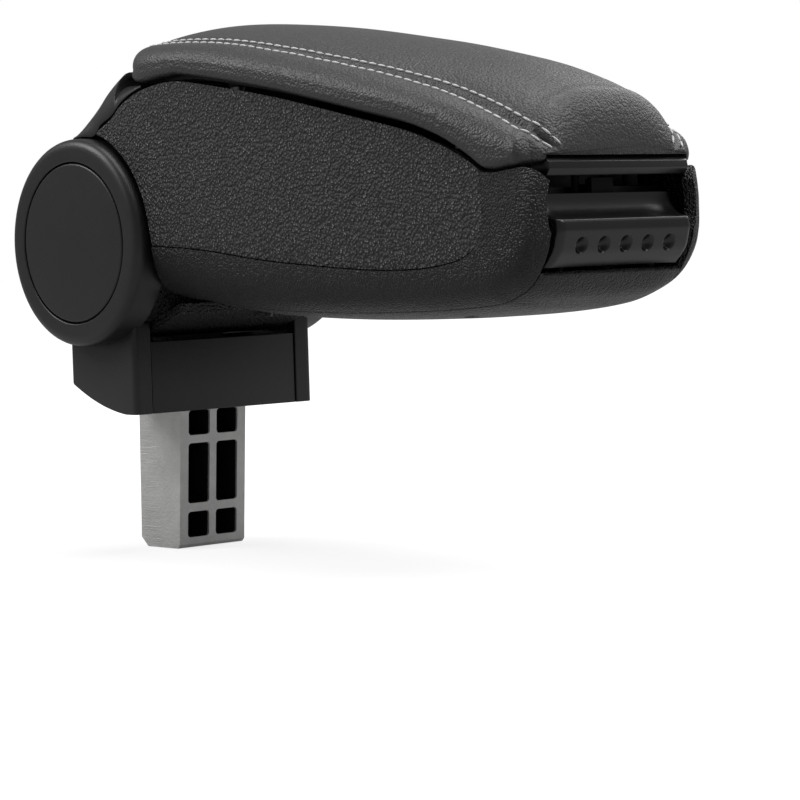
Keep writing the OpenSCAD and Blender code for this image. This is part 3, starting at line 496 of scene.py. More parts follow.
def top(x):
    return SIDE_H * curve(TOP_SHARE, np.asarray(x) / BODY_LEN)


def section(x):
    """Width, middle, rise to the upper edge and drop to the belly at a station."""
    low, high = belly(x), top(x)
    middle = low + (high - low) * MIDDLE_SHARE
    return half_width(x), middle, high - middle, middle - low


def skin(x, q):
    """Right-hand skin: q runs from 1 at the upper edge through 0 to -1 at the belly."""
    w, middle, rise, drop = section(x)
    q = np.asarray(q, float)
    turn = np.clip(-q, 0, 1) * np.pi / 2
    across, down = np.clip(np.cos(turn), 0, 1), np.sin(turn)
    reach = (across ** CORNER_POWER + down ** CORNER_POWER) ** (-1 / CORNER_POWER)
    up = np.clip(q, 0, 1.2)
    y = w * np.where(q >= 0, 1 - UPPER_TAPER * up ** 2, reach * across)
    z = np.where(q >= 0, middle + rise * up, middle - drop * reach * down)
    return np.stack([x + 0 * y, -y, z], -1)


def q_at(x, z):
    """Place round the section of a point at height z."""
    _, middle, rise, drop = section(x)
    v = np.clip((middle - z) / drop, 0, 1)
    side = np.clip(1 - v ** CORNER_POWER, 0, 1) ** (1 / CORNER_POWER)
    return np.where(z >= middle, (z - middle) / rise, -np.arctan2(v, side) * 2 / np.pi)


def q_of_side(x, y):
    """Place round the lower part of the section of a point at half width y."""
    w = half_width(x)
    side = np.clip(y / w, 0, 1)
    v = (1 - side ** CORNER_POWER) ** (1 / CORNER_POWER)
    return -np.arctan2(v, side) * 2 / np.pi


def spread(upper, lower, rear, front):
    """Net between four edges: upper and lower run forward, rear and front run down."""
    u = np.linspace(0, 1, len(upper))[None, :, None]
    v = np.linspace(0, 1, len(rear))[:, None, None]
    ruled = (1 - v) * upper[None] + v * lower[None] + (1 - u) * rear[:, None] + u * front[:, None]
    return ruled - ((1 - u) * (1 - v) * upper[0] + u * (1 - v) * upper[-1]
                    + (1 - u) * v * lower[0] + u * v * lower[-1])


def patch(upper, lower, rear, front, rows, columns):
    """Even net between four edges."""
    return spread(spaced(upper, columns), spaced(lower, columns),
                  spaced(rear, rows), spaced(front, rows))


def turning_point(holds, low, high):
    """Place between low and high at which a test stops holding."""
    for _ in range(40):
        at = (low + high) / 2
        low, high = (at, high) if holds(at) else (low, at)
    return at


def moulding(name, nets, edge, sharp=40):
    """Walls made from nets of points, each with its outward direction and its thickness."""
    parts = []
    for net, out, wall in nets:
        rows, columns = net.shape[:2]
        faces = [(r * columns + c, r * columns + c + 1, (r + 1) * columns + c + 1,
                  (r + 1) * columns + c) for r in range(rows - 1) for c in range(columns - 1)]
        r, c = rows // 2, columns // 2
        across = np.cross(net[r, c + 1] - net[r, c], net[r + 1, c + 1] - net[r, c])
        if across @ np.asarray(out, float) < 0:
            faces = [face[::-1] for face in faces]
        mesh = bpy.data.meshes.new(name + "_net")
        mesh.from_pydata(((net.reshape(-1, 3) + AXLE) * MM).tolist(), [], faces)
        sheet = place(name + "_net", mesh)
        thick = sheet.modifiers.new("wall", "SOLIDIFY")
        thick.thickness = wall * MM
        thick.offset = -1
        thick.use_even_offset = True
        soften(sheet, edge, sharp)
        parts.append(settle(sheet))
    whole = bmesh.new()
    for sheet in parts:
        whole.from_mesh(sheet.data)
        bpy.data.objects.remove(sheet)
    bmesh.ops.recalc_face_normals(whole, faces=whole.faces)
    mesh = bpy.data.meshes.new(name)
    whole.to_mesh(mesh)
    whole.free()
    return place(name, mesh)


def inward(net, out, depth):
    """Net moved into the form by a depth."""
    along = np.gradient(net, axis=1)
    down = np.gradient(net, axis=0)
    normal = np.cross(along, down)
    normal /= np.linalg.norm(normal, axis=2, keepdims=True)
    middle = normal[net.shape[0] // 2, net.shape[1] // 2]
    return net - normal * depth * np.sign(middle @ np.asarray(out, float))


def mirror_net(net):
    return net * (1, -1, 1)


# Side panels: pebble-grained covers let into the side shells. Their lower edge
# sweeps along the side, turns up in a round corner short of the nose and meets the upper
# edge. They clip into the shells with an even groove all round.
PANEL_LOW = [(36.8, -1.4), (78.9, -4.1), (118, -8.9), (157.8, -12.2), (184.1, -13.6), (206, -13.2),
             (221, -11.2)]
PANEL_CORNER = [(221, -11.2), (229, -8.8), (234.2, -5.2), (237.2, -0.6), (238.3, 4.6), (237.6, 11),
                (236.2, 17.5), (234.9, 24)]


def smooth_line(line, count):
    """Smooth line through a few points, at equal steps."""
    line = np.asarray(line, float)
    run = np.concatenate([[0], np.cumsum(np.linalg.norm(np.diff(line, axis=0), axis=1))])
    at = np.linspace(0, run[-1], count * 4)
    fine = np.stack([curve(np.stack([run, line[:, k]], -1), at) for k in range(line.shape[1])], -1)
    return spaced(fine, count)


def panel_edges(grow):
    """Edges of the panel's place, grown outwards, in x and z; the last is the lower line."""
    low_line = smooth_line(PANEL_LOW + PANEL_CORNER[1:], 160)
    step = np.gradient(low_line, axis=0)
    step /= np.linalg.norm(step, axis=1, keepdims=True)
    low_line = low_line + grow * np.stack([step[:, 1], -step[:, 0]], -1)
    low_line = low_line[np.hypot(low_line[:, 0], low_line[:, 1]) > ARC_R]
    a = np.arctan2(low_line[0, 1], low_line[0, 0])
    low_line = np.vstack([[ARC_R * np.cos(a), ARC_R * np.sin(a)], low_line])
    end_x = low_line[-1, 0]
    upper_x = np.linspace(10, end_x, 200)
    upper = np.stack([upper_x, top(upper_x)], -1)
    upper = upper[np.hypot(upper[:, 0], upper[:, 1]) > ARC_R - 0.05]
    start = np.arctan2(upper[0, 1], upper[0, 0])
    turn = np.linspace(start, a, 60)
    rear = ARC_R * np.stack([np.cos(turn), np.sin(turn)], -1)
    rear[0] = upper[0]
    low_line[-1] = upper[-1]
    split = int(np.argmin(np.hypot(low_line[:, 0] - 233.5, low_line[:, 1] + 5.9)))
    return upper, low_line[:split + 1], rear, low_line[split:][::-1], low_line


PANEL_SUNK = 0.5
NEAR_OUT = (0, -1, 0)
FAR_OUT = (0, 1, 0)


def panel_face(grow, rows, columns, depth):
    """Net of the near panel's place on the skin, moved in by a depth."""
    flat = patch(*panel_edges(grow)[:-1], rows, columns)
    return inward(skin(flat[..., 0], q_at(flat[..., 0], flat[..., 1])), NEAR_OUT, depth)


pebble = Finish("pebbled_black")
pebble_warp = pebble.noise(0.0018, 3.0)
pebble_cell = pebble.cells(0.0013)
pebble_shape = pebble_cell + 0.3 * pebble.cells(0.0024)
# Painted glints: the pebbles' peaks are painted light grey, where the lamps would catch the grain;
# the rest is black
pebble_painted_glints = pebble.ramp(pebble_cell + 0.35 * pebble.noise(0.004, 2.0), 0.22, 0.46)
pebble.shade(
    Base_Color=pebble.between(pebble_painted_glints, grey(170), grey(12)),
    Roughness=0.24 + 0.3 * pebble_painted_glints,
    Specular_IOR_Level=0.6,
    Normal=pebble.bump(0.8 * pebble_warp - pebble_shape, 0.0013))

BOTH_NETS = (("right", NEAR_OUT, lambda net: net), ("left", FAR_OUT, mirror_net))
panel_net = panel_face(0, 44, 150, PANEL_SUNK)
for side, across, flip in BOTH_NETS:
    panel = moulding(side + "_side_panel_cover",
                     [(flip(panel_net), across, PANEL_WALL - PANEL_SUNK)], edge=0.7)
    fit(settle(panel), pebble, "armrest", "pebbled_black", side + "_side_panel")

# Side shells: the moulded sides that carry the panels. Their bare rim runs below the panel,
# thickens round the nose into the lip of the front opening, and ends at the rear
# in an arc round the drum. They screw to the belly shell from inside.
RIM_COLUMNS = 190
RIM_ROWS = 22
NOSE_COLUMNS = 45
NOSE_X = BODY_LEN - 0.05
inner_line = spaced(panel_edges(PANEL_GAP)[-1], RIM_COLUMNS)
inner = np.stack([inner_line[:, 0], q_at(inner_line[:, 0], inner_line[:, 1])], -1)


def below_arc(q):
    """Station at which the skin meets the rear arc."""
    return turning_point(lambda x: np.hypot(*skin(np.array(x), np.array(q))[[0, 2]]) < ARC_R,
                         5.0, 60.0)


foot_x = 34.0
for _ in range(12):
    foot_x = below_arc(float(q_of_side(np.array(foot_x), BELLY_HALF)))
belly_x = np.linspace(foot_x, NOSE_X, 260)
belly_line = np.stack([belly_x, q_of_side(belly_x, BELLY_HALF)], -1)
nose_q = np.linspace(belly_line[-1, 1], 1, 60)
nose_line = np.stack([np.full(60, NOSE_X), nose_q], -1)
outer = np.vstack([spaced(belly_line * (1, 60), RIM_COLUMNS - NOSE_COLUMNS) / (1, 60),
                   spaced(nose_line[1:] * (1, 60), NOSE_COLUMNS) / (1, 60)])
rear_q = np.linspace(inner[0, 1], outer[0, 1], RIM_ROWS)
rear_edge = np.stack([[below_arc(q) for q in rear_q], rear_q], -1)
rear_edge[0], rear_edge[-1] = inner[0], outer[0]
top_edge = np.stack([np.linspace(inner[-1, 0], NOSE_X, RIM_ROWS), np.ones(RIM_ROWS)], -1)
band = spread(inner, outer, rear_edge, top_edge)
rim_net = skin(band[..., 0], band[..., 1])
LIP_R = 9.0
LIP_DROP = 8.5
past = np.clip((rim_net[..., 0] - BODY_LEN + LIP_R) / LIP_R, 0, 1)
lip_drop = LIP_DROP * (1 - np.sqrt(1 - 0.97 * past ** 2))
rim_net[..., 2] -= lip_drop * np.clip(band[..., 1], 0, 1)
back_net = panel_face(2.0, 24, 80, PANEL_WALL + 0.3)

grained = Finish("grained_black")
grain_shape = grained.cells(0.0009) + 0.5 * grained.cells(0.0019, stretch=(1, 1, 0.7))
grained.shade(
    Base_Color=grained.between(grained.noise(0.004, 4.0), grey(8), grey(16)),
    Roughness=0.32 + 0.15 * grained.noise(0.003, 3.0),
    Specular_IOR_Level=0.4,
    Normal=grained.bump(0.8 * grained.noise(0.0014, 3.0) - grain_shape, 0.0007))

for side, across, flip in BOTH_NETS:
    shell = moulding(side + "_side_moulding", [
        (flip(rim_net), across, PANEL_WALL + SHELL_WALL + 0.2),
        (flip(back_net), across, SHELL_WALL)], edge=1.2)
    fit(settle(shell), grained, "armrest", "grained_black", side + "_side_shell")

# Belly shell: the underside, between the side shells. It is one grained moulding from
# the hinge barrel to the sill below the latch, and the bin stands on its bosses.
BELLY_BACK = 44.0
SILL_Z = -16.8
BOSS_X = (80, 205)
BOSS_Y = 24
BOSS_R = 4
EAR_IN, EAR_OUT = 24, 27
belly_y = np.linspace(-BELLY_HALF + 0.3, BELLY_HALF - 0.3, 61)


def belly_front(y):
    """Station at which the belly rises to the sill."""
    return turning_point(
        lambda x: skin(np.array(x), q_of_side(np.array(x), abs(y)))[2] < SILL_Z, 200.0, 262.8)


belly_net = []
for y in belly_y:
    line_x = BELLY_BACK + (belly_front(y) - BELLY_BACK) * np.linspace(0, 1, 120) ** 0.8
    spots = skin(line_x, q_of_side(line_x, abs(y)))
    spots[:, 1] = y
    belly_net.append(spots)
belly_net = np.array(belly_net)
ear = rounded([(246.5, -12), (246.5, -8, 3), (254.5, -8, 3), (253.5, -15), (249.5, -22),
               (234.5, -29.5), (228.5, -29.5), (236.5, -20)], 4)
belly_cover = moulding("belly_cover", [(belly_net, (0, 0, -1), SHELL_WALL)], edge=0.5)
boss, boss_faces = lathe(rounded([(0, -27), (BOSS_R, -27), (BOSS_R, -33), (0, -33)]), 24)
ears = make("latch_ears", both_prisms(ear, EAR_IN, EAR_OUT)
            + [(boss[:, [0, 2, 1]] + (x, y, 0), boss_faces)
               for x in BOSS_X for y in (-BOSS_Y, BOSS_Y)], edge=0.3)


def join(piece, part):
    """Adds a part's mesh to a piece and removes the part."""
    joined = bmesh.new()
    joined.from_mesh(settle(piece).data)
    joined.from_mesh(settle(part).data)
    joined.to_mesh(piece.data)
    joined.free()
    bpy.data.objects.remove(part)


join(belly_cover, ears)
fit(settle(belly_cover), grained, "armrest", "grained_black", "belly_shell")

# Hinge barrel: the ribbed tube between the cheeks, on which the whole body tilts. Its tail
# is screwed to the belly shell.
dress(grained, "hinge_barrel")

# Storage bin and crossbar: satin mouldings inside the body. The bin has a flange under
# the lid, and the crossbar behind the latch ties the two side shells together.
dress(satin, "storage_bin", "front_crossbar")

# Rear cover: the smooth hood over the gap between barrel and lid. It wraps down both sides
# to the drum rings and carries the ears of the lid's hinge pin under the lid.
COVER_TOP = [[-7, 45.5], [-5, 47], [-3, 49.3], [0, 52.8], [5, 58], [10, 62.8], [15, 67],
             [19, 69.8], [22.4, 71.8]]
COVER_HALF = 54.0
COVER_ROUND = 10.0
COVER_WALL = 2.2
COVER_FRONT = 22.4
TONGUE_Z = 65.8
DRUM_CLEAR_R = 45.3
PIN_X, PIN_Z, EYE_R = 26.5, 72.0, 5.0
PIN_EAR_IN, PIN_EAR_OUT = 18, 24
cover_x = np.concatenate([np.linspace(-6.8, COVER_FRONT, 70), [22.7, 23.2],
                          np.linspace(25, 40.5, 14)])
cover_z = np.where(cover_x <= COVER_FRONT + 0.05, curve(COVER_TOP, cover_x), TONGUE_Z)
cover_z[70] = 69.6
cover_net = []
for x, height in zip(cover_x, cover_z):
    drum_z = (DRUM_CLEAR_R ** 2 - x * x) ** 0.5
    low = drum_z + max(float(top(x)) + 1.8 - drum_z, 0) * float(np.clip((x - 4) / 8, 0, 1))
    side = [(-COVER_HALF, low)] + [
        (-COVER_HALF + COVER_ROUND * (1 - np.cos(a)), low + 0.3 + (height - low - 0.3) * np.sin(a))
        for a in np.radians(np.linspace(0, 90, 24))]
    half = spaced(np.vstack([side, [(0, height)]]), 60)
    whole = np.vstack([half, half[:-1][::-1] * (-1, 1)])
    cover_net.append([(x, y, z) for y, z in whole])
cover_net = np.array(cover_net)
hood = moulding("rear_hood", [(cover_net, (0, 0, 1), COVER_WALL)], edge=0.6)
pin_ear = [(PIN_X + EYE_R * np.cos(a), PIN_Z + EYE_R * np.sin(a))
           for a in np.radians(np.arange(-20, 201, 20))]
pin_ear += [(18, 63.5), (33, 63.5)]
hood_ears = make("hood_ears", both_prisms(pin_ear, PIN_EAR_IN, PIN_EAR_OUT), edge=0.4)
join(hood, hood_ears)
fit(settle(hood), satin, "armrest", "satin_black", "rear_cover")

# Lid: a moulded tray with foam and a sewn leather cover stretched over it. Two seams
# run from rear to front and part the top from the side rolls, and the leather is
# pulled round the tray's edge. The tray hinges on the pin under the rear cover.
CROWN_H = 91.0
SEAM_INSET = 13.5
TRIM_TOP = 27.4
TRIM_HALF = 38.7
SWELL = 0.9
SWELL_CAP = 3.0
CROWN_SHARE = [[0.09, 0.915], [0.115, 0.955], [0.16, 0.99], [0.23, 1], [0.34, 0.977],
               [0.456, 0.938], [0.59, 0.877], [0.685, 0.83], [0.76, 0.784], [0.844, 0.724],
               [0.913, 0.655], [0.95, 0.608], [0.975, 0.572], [0.99, 0.548], [1, 0.53]]
SEAM_SHARE = [[0.09, 0.905], [0.13, 0.916], [0.235, 0.912], [0.335, 0.886], [0.475, 0.818],
              [0.565, 0.766], [0.654, 0.71], [0.738, 0.652], [0.821, 0.586], [0.9, 0.5],
              [0.95, 0.432], [0.98, 0.39], [1, 0.365]]
SKIRT = [[25, 71.2], [29, 69.4], [33, 67.2], [38, 66.5], [45, 66.6], [54, 67.7], [62, 68.1]]
CORNER = [[25, 17], [26, 13.4], [28, 9.6], [32, 5.8], [38, 2.8], [46, 1.3], [60, 0.6]]
LID_REAR = 25.0
LID_NOSE = 261.2
NOSE_ROUND = 9.0
NOSE_PULL = 4.5
TRAY_REAR = 62.0
TRAY_WALL = 3.1
SKIRT_INSET = 9.3
dress(satin, "lid_tray")


def tray_low(x):
    return np.maximum(top(x) + 1.2, np.where(x < TRAY_REAR, 66.6, 0))


def lid_sizes(x):
    """Half width, skirt, underside, seam and crown of the lid at a station."""
    w = half_width(x) - np.where(x < 60, curve(CORNER, x), 0.6)
    skirt = np.where(x < TRAY_REAR, curve(SKIRT, x),
                     top(x) + 2.8 - 1.8 * np.clip((x - 215) / 25, 0, 1)
                     - 1.2 * np.clip((x - 250) / 11, 0, 1) ** 2)
    under = np.maximum(np.maximum(
        np.where(x < 32, 0, (tray_low(x) + TRAY_WALL) * (1 - np.clip((x - 251.4) / 0.8, 0, 1))),
        np.where(x > 44, 0, 77.4 - 0.6 * np.maximum(0, x - 29.5))),
        np.where(x < 235, 0, TRIM_TOP + 0.3))
    seam = np.maximum(CROWN_H * curve(SEAM_SHARE, x / BODY_LEN), under + 1.2)
    return w, skirt, under, seam, CROWN_H * curve(CROWN_SHARE, x / BODY_LEN)


SEAM_ROWS = np.array([0.0, 0.35, 0.8, 1.4, 2.1, 3.0, 4.0, 5.4])
ROLL_ANGLES = np.radians([60, 52, 43, 34, 25, 16, 8, 0])
CROWN_POINTS = 14
# Shares of the skirt's width and of its height, from the roll down to its flat edge
SKIRT_TURN = [(0.02, 0.66), (0.07, 0.3), (0.2, 0.08), (0.42, 0)]


def lid_ring(x, shrink=0.0):
    """Closed section of the lid, from the middle of the crown down the left side and back."""
    w, skirt, under, seam, crown = [float(v) for v in lid_sizes(x)]
    w -= shrink * 0.35
    crown -= shrink
    roll = (1 - 0.98 * np.clip((x - LID_NOSE + NOSE_ROUND) / NOSE_ROUND, 0, 1) ** 2) ** 0.5
    w -= 2.4 * (1 - roll)
    crown = under + 0.8 + (crown - under - 0.8) * roll
    seam = under + 0.6 + (seam - under - 0.6) * roll
    inset = SEAM_INSET - 3 * np.clip((x - 205) / 45, 0, 1)
    seam_y = w - inset
    recess = min(max(w - SKIRT_INSET, TRIM_HALF + 0.5), w - 0.6)
    skirt_w = w - recess
    middle = skirt + (seam - skirt) * 0.35
    seam = max(seam - shrink, under + 0.6)
    seam_rise = crown - seam
    across = (list(np.linspace(0, seam_y - 7.2, CROWN_POINTS))
              + [seam_y - d for d in SEAM_ROWS[::-1]])
    fullness = 2.2 + 0.8 * np.clip((x - 190) / 60, 0, 1)
    half = [(y, seam + seam_rise * (1 - (y / seam_y) ** fullness)) for y in across]
    row_turns = [np.arccos(d / inset) for d in SEAM_ROWS[1:]]
    for a in row_turns + list(ROLL_ANGLES):
        half.append((seam_y + inset * np.cos(a), middle + (seam - middle) * np.sin(a)))
    low = skirt + shrink * 0.5 + 2.4 * (1 - roll)
    half += [(w - skirt_w * inner, low + (middle - low) * rise) for inner, rise in SKIRT_TURN]
    half += [(recess + skirt_w * 0.1, low), (recess, low + 0.5),
             (recess, max(under, low + 0.9)), (recess * 0.5, max(under, low + 0.9))]
    half = np.array(half)
    ring_points = np.vstack([half, [(0, half[-1, 1])], half[1:][::-1] * (-1, 1)])
    return np.column_stack([np.full(len(ring_points), x), ring_points])


ring_count = len(lid_ring(100.0))
seam_row = CROWN_POINTS + len(SEAM_ROWS) - 1

rear_shrink = [(25.0, 2.4), (25.25, 1.7), (25.7, 1.0), (26.4, 0.45), (27.4, 0.1)]
nose_x = LID_NOSE - NOSE_ROUND * (1 - np.sin(np.radians(np.linspace(4, 90, 22))))
stations = rear_shrink + [(x, 0.0) for x in np.concatenate([
    np.linspace(28.5, 62, 26), np.linspace(63.4, 235, 120),
    np.linspace(236, LID_NOSE - NOSE_ROUND, 24), nose_x])]
lid_grid = np.array([lid_ring(x, s) for x, s in stations])
past_roll = np.clip((lid_grid[..., 0] - LID_NOSE + NOSE_ROUND) / NOSE_ROUND, 0, 1)
beside_bar = np.clip((np.abs(lid_grid[..., 1]) - TRIM_HALF + 1) / 6, 0, 1)
lid_grid[..., 0] -= NOSE_PULL * past_roll * beside_bar ** 1.5

VOXEL = 0.0045
CLOTH_FRAMES = 20
NEIGHBOURS = 8


def swell(points, faces):
    """Lets the pad's skin swell as cloth over its foam, and gives each point's move."""
    pad = make("pad_trial", [(points, faces)])
    remesh = pad.modifiers.new("voxels", "REMESH")
    remesh.mode = "VOXEL"
    remesh.voxel_size = VOXEL
    settle(pad)
    start = np.array([v.co for v in pad.data.vertices])
    held = pad.vertex_groups.new(name="held")
    for index, spot in enumerate((start / MM) - AXLE):
        skirt = float(lid_sizes(np.clip(spot[0], LID_REAR, LID_NOSE))[1])
        hold = np.clip((skirt + 5.0 - spot[2]) / 3.0, 0, 1)
        hold = max(hold, np.clip((spot[0] - 249) / 5, 0, 1))
        held.add([index], float(hold), "REPLACE")
    cloth = pad.modifiers.new("leather", "CLOTH")
    cloth.settings.effector_weights.gravity = 0.0
    for key, value in (("use_pressure", True), ("uniform_pressure_force", 4.0),
                       ("vertex_group_mass", "held"), ("tension_stiffness", 25),
                       ("compression_stiffness", 25), ("bending_stiffness", 2)):
        setattr(cloth.settings, key, value)
    cloth.point_cache.frame_start = 1
    cloth.point_cache.frame_end = CLOTH_FRAMES
    for number in range(1, CLOTH_FRAMES + 1):
        bpy.context.scene.frame_set(number)
    graph = bpy.context.evaluated_depsgraph_get()
    swollen = bpy.data.meshes.new_from_object(pad.evaluated_get(graph))
    moved = np.array([v.co for v in swollen.vertices]) - start
    bpy.context.scene.frame_set(1)
    bpy.data.objects.remove(pad)
    length = np.linalg.norm(moved, axis=1, keepdims=True) / MM
    moved = moved / MM * np.minimum(1, SWELL_CAP / np.maximum(length, 1e-6))
    return start / MM - AXLE, moved


lid_points, lid_faces = loft(lid_grid)
carried = np.zeros_like(lid_points)
spots, moves = swell(lid_points, lid_faces)
tree = KDTree(len(spots))
for index, spot in enumerate(spots):
    tree.insert(spot, index)
tree.balance()
for index, spot in enumerate(lid_points):
    near = tree.find_n(spot, NEIGHBOURS)
    weight = np.array([1 / (distance + 2.0) ** 2 for _, _, distance in near])
    carried[index] = weight @ moves[[k for _, k, _ in near]] / weight.sum()

# The swollen net, into which the seams, the sewn rows and the small folds of the
# leather are pressed. The nose is held, because the leather is glued to the tray there.
carried[:, 0] = 0
net = (lid_points + carried).reshape(lid_grid.shape)
along = np.gradient(net, axis=0)
around = np.roll(net, -1, axis=1) - np.roll(net, 1, axis=1)
outward = np.cross(around, along)
outward /= np.maximum(np.linalg.norm(outward, axis=2, keepdims=True), 1e-9)
if outward[len(stations) // 2, 0, 2] < 0:
    outward = -outward
station_x = np.array([x for x, _ in stations])
skirts = np.array([float(lid_sizes(x)[1]) for x in station_x])
eased = np.clip((254 - station_x) / 5, 0, 1)[:, None, None]
net -= outward * SWELL * eased * (net[..., 2:] > skirts[:, None, None] + 3)

# Signed distance of each row from its seam, in mm along the skin
run = np.linalg.norm(np.diff(net, axis=1), axis=2).mean(0)
run = np.concatenate([[0], np.cumsum(run)])
left_gap = run - run[seam_row]
gap = np.array([left_gap[min(index, ring_count - index)] for index in range(ring_count)])
fade = (np.clip((station_x - LID_REAR) / 6, 0, 1)
        * np.clip((LID_NOSE + 1.5 - station_x) / 4, 0, 1))
depth = np.zeros((len(stations), ring_count))
# Seam groove, the dip round it, its raised shoulders and the sewn rows: distance, width, depth
for apart, wide, deep in ((0, 0.75, 0.95), (0, 4.2, 0.55), (1.9, 0.9, -0.22), (3.1, 0.45, 0.22)):
    depth += deep * np.exp(-((np.abs(gap) - apart) / wide) ** 2)[None, :]
# Folds at the nose: station, distance from the seam, length, width and depth
folds = [(251.0, 0.0, 2.2, 7.0, 0.35), (254.5, -2.5, 1.6, 6.0, 0.3), (247.0, 2.5, 2.0, 6.0, 0.25),
         (257.3, 1.0, 1.3, 8.0, 0.25), (243.0, -3.0, 2.2, 5.0, 0.2)]
for fold_x, fold_gap, long, wide, deep in folds:
    depth += deep * np.exp(-((station_x[:, None] - fold_x - 0.35 * gap[None, :]) / long) ** 2
                           - ((gap[None, :] - fold_gap) / wide) ** 2)
rng = np.random.default_rng(7)
for _ in range(26):
    at_x, at_gap = rng.uniform(40, 250), rng.uniform(-9, 14)
    long, wide, deep = rng.uniform(8, 26), rng.uniform(2, 5), rng.uniform(-0.16, 0.16)
    depth += deep * np.exp(-((station_x[:, None] - at_x) / long) ** 2
                           - ((gap[None, :] - at_gap) / wide) ** 2)
net = net - outward * (depth * fade[:, None])[..., None]

leather = Finish("charcoal_leather")
leather_cells = leather.cells(0.0010) + 0.5 * leather.cells(0.0022)
leather_fold = leather.noise(0.011, 3.0)
leather_mottle = leather.noise(0.0032, 3.0)
leather.shade(
    Base_Color=leather.between(0.6 * leather_mottle + 0.4 * leather_cells, grey(64), grey(45)),
    Roughness=0.36 + 0.16 * leather_mottle,
    Specular_IOR_Level=0.5,
    Normal=leather.bump(1.2 * leather_fold - leather_cells, 0.00022))

lid_points, lid_faces = loft(net)
pad = make("lid_padding", [(lid_points, lid_faces)])
settle(pad, sharp=80)
fit(pad, leather, "lid", "charcoal_leather", "lid_cushion")

# Stitching: a row of thick light-grey thread each side of both seams. Each stitch
# lies on the leather and dips at its ends.
ROW_INSIDE, ROW_OUTSIDE = 3.0, 3.1
ROW_LIFT = 0.3
STITCH_PITCH = 5.0
STITCH_LONG = 4.3
THREAD_R = 0.5

thread = Finish("light_thread")
thread.shade(
    Base_Color=thread.between(thread.noise(0.0008, 2.0), grey(184), grey(226)),
    Roughness=0.6,
    Normal=thread.bump(thread.noise(0.00035, 1.0, stretch=(1, 0.3, 1)), 0.0001))


def row_for(distance):
    return int(np.argmin(np.abs(gap[:ring_count // 2] - distance)))


points, edges = [], []
for row in (row_for(-ROW_INSIDE), row_for(ROW_OUTSIDE)):
    for index in (row, (ring_count - row) % ring_count):
        start = len(points)
        run = net[6:-8, index] + outward[6:-8, index] * ROW_LIFT
        points += ((run + AXLE) * MM).tolist()
        edges += [(start + k, start + k + 1) for k in range(len(run) - 1)]
row_mesh = bpy.data.meshes.new("lid_stitches")
row_mesh.from_pydata(points, edges, [])
stitches = place("lid_stitches", row_mesh)


def stitch_tree():
    """Geometry tree that lays stitches of one length along the sewn rows."""
    tree = bpy.data.node_groups.new("stitch_rows", "GeometryNodeTree")
    sizes = {}
    tree.interface.new_socket("Rows", in_out="INPUT", socket_type="NodeSocketGeometry")
    for name, size in (("Pitch", STITCH_PITCH), ("Stitch length", STITCH_LONG),
                       ("Thread radius", THREAD_R)):
        socket = tree.interface.new_socket(name, in_out="INPUT", socket_type="NodeSocketFloat")
        sizes[socket.identifier] = size * MM
    material = tree.interface.new_socket("Thread", in_out="INPUT", socket_type="NodeSocketMaterial")
    sizes[material.identifier] = thread.material
    tree.interface.new_socket("Stitches", in_out="OUTPUT", socket_type="NodeSocketGeometry")

    def add(kind, settings=None, sockets=None):
        return add_node(tree, kind, settings, sockets).outputs

    given = add("NodeGroupInput")
    path = add("GeometryNodeMeshToCurve", None, {"Mesh": given["Rows"]})["Curve"]
    spots = add("GeometryNodeCurveToPoints", {"mode": "LENGTH"},
                {"Curve": path, "Length": given["Pitch"]})
    turn = add("FunctionNodeAlignRotationToVector", {"axis": "Z"},
               {"Vector": spots["Tangent"]})["Rotation"]
    half = add("ShaderNodeMath", {"operation": "MULTIPLY"},
               {0: given["Stitch length"], 1: 0.5})["Value"]
    size = add("ShaderNodeCombineXYZ", None,
               {"X": given["Thread radius"], "Y": given["Thread radius"], "Z": half})["Vector"]
    bead = add("GeometryNodeMeshUVSphere", None,
               {"Segments": 10, "Rings": 8, "Radius": 1.0})["Mesh"]
    laid = add("GeometryNodeInstanceOnPoints", None,
               {"Points": spots["Points"], "Instance": bead, "Rotation": turn,
                "Scale": size})["Instances"]
    real = add("GeometryNodeRealizeInstances", None, {"Geometry": laid})["Geometry"]
    shown = add("GeometryNodeSetMaterial", None,
                {"Geometry": real, "Material": given["Thread"]})["Geometry"]
    add("NodeGroupOutput", None, {"Stitches": shown})
    return tree, sizes


rule = stitches.modifiers.new("stitch_rows", "NODES")
rule.node_group, stitch_sizes = stitch_tree()
for identifier, size in stitch_sizes.items():
    rule[identifier] = size
settle(stitches, sharp=180)
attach(stitches, "lid")

# Trim bar: a half-gloss black plastic strip across the front of the lid, under the
# leather. It is clipped to the tray's front edge.
BAR_BACK = 251.4
BAR_LOW = 20.0
gloss = Finish("gloss_black")
gloss.shade(
    Base_Color=gloss.between(gloss.noise(0.01, 3.0), grey(12), grey(16)),
    Roughness=0.26 + 0.08 * gloss.noise(0.004, 3.0),
    Specular_IOR_Level=0.5,
    Normal=gloss.bump(gloss.noise(0.0009, 2.0), 0.00001))
bar = make("lid_front_bar", [prism(rounded([
    (BAR_BACK, TRIM_TOP), (258.9, TRIM_TOP, 0.4), (261.3, 25.3, 0.5), (261.85, 22.6, 1.2),
    (260, BAR_LOW, 0.8), (BAR_BACK, BAR_LOW + 0.6)]), -TRIM_HALF, TRIM_HALF)], edge=0.35)
fit(settle(bar), gloss, "lid", "gloss_black", "lid_trim_bar")

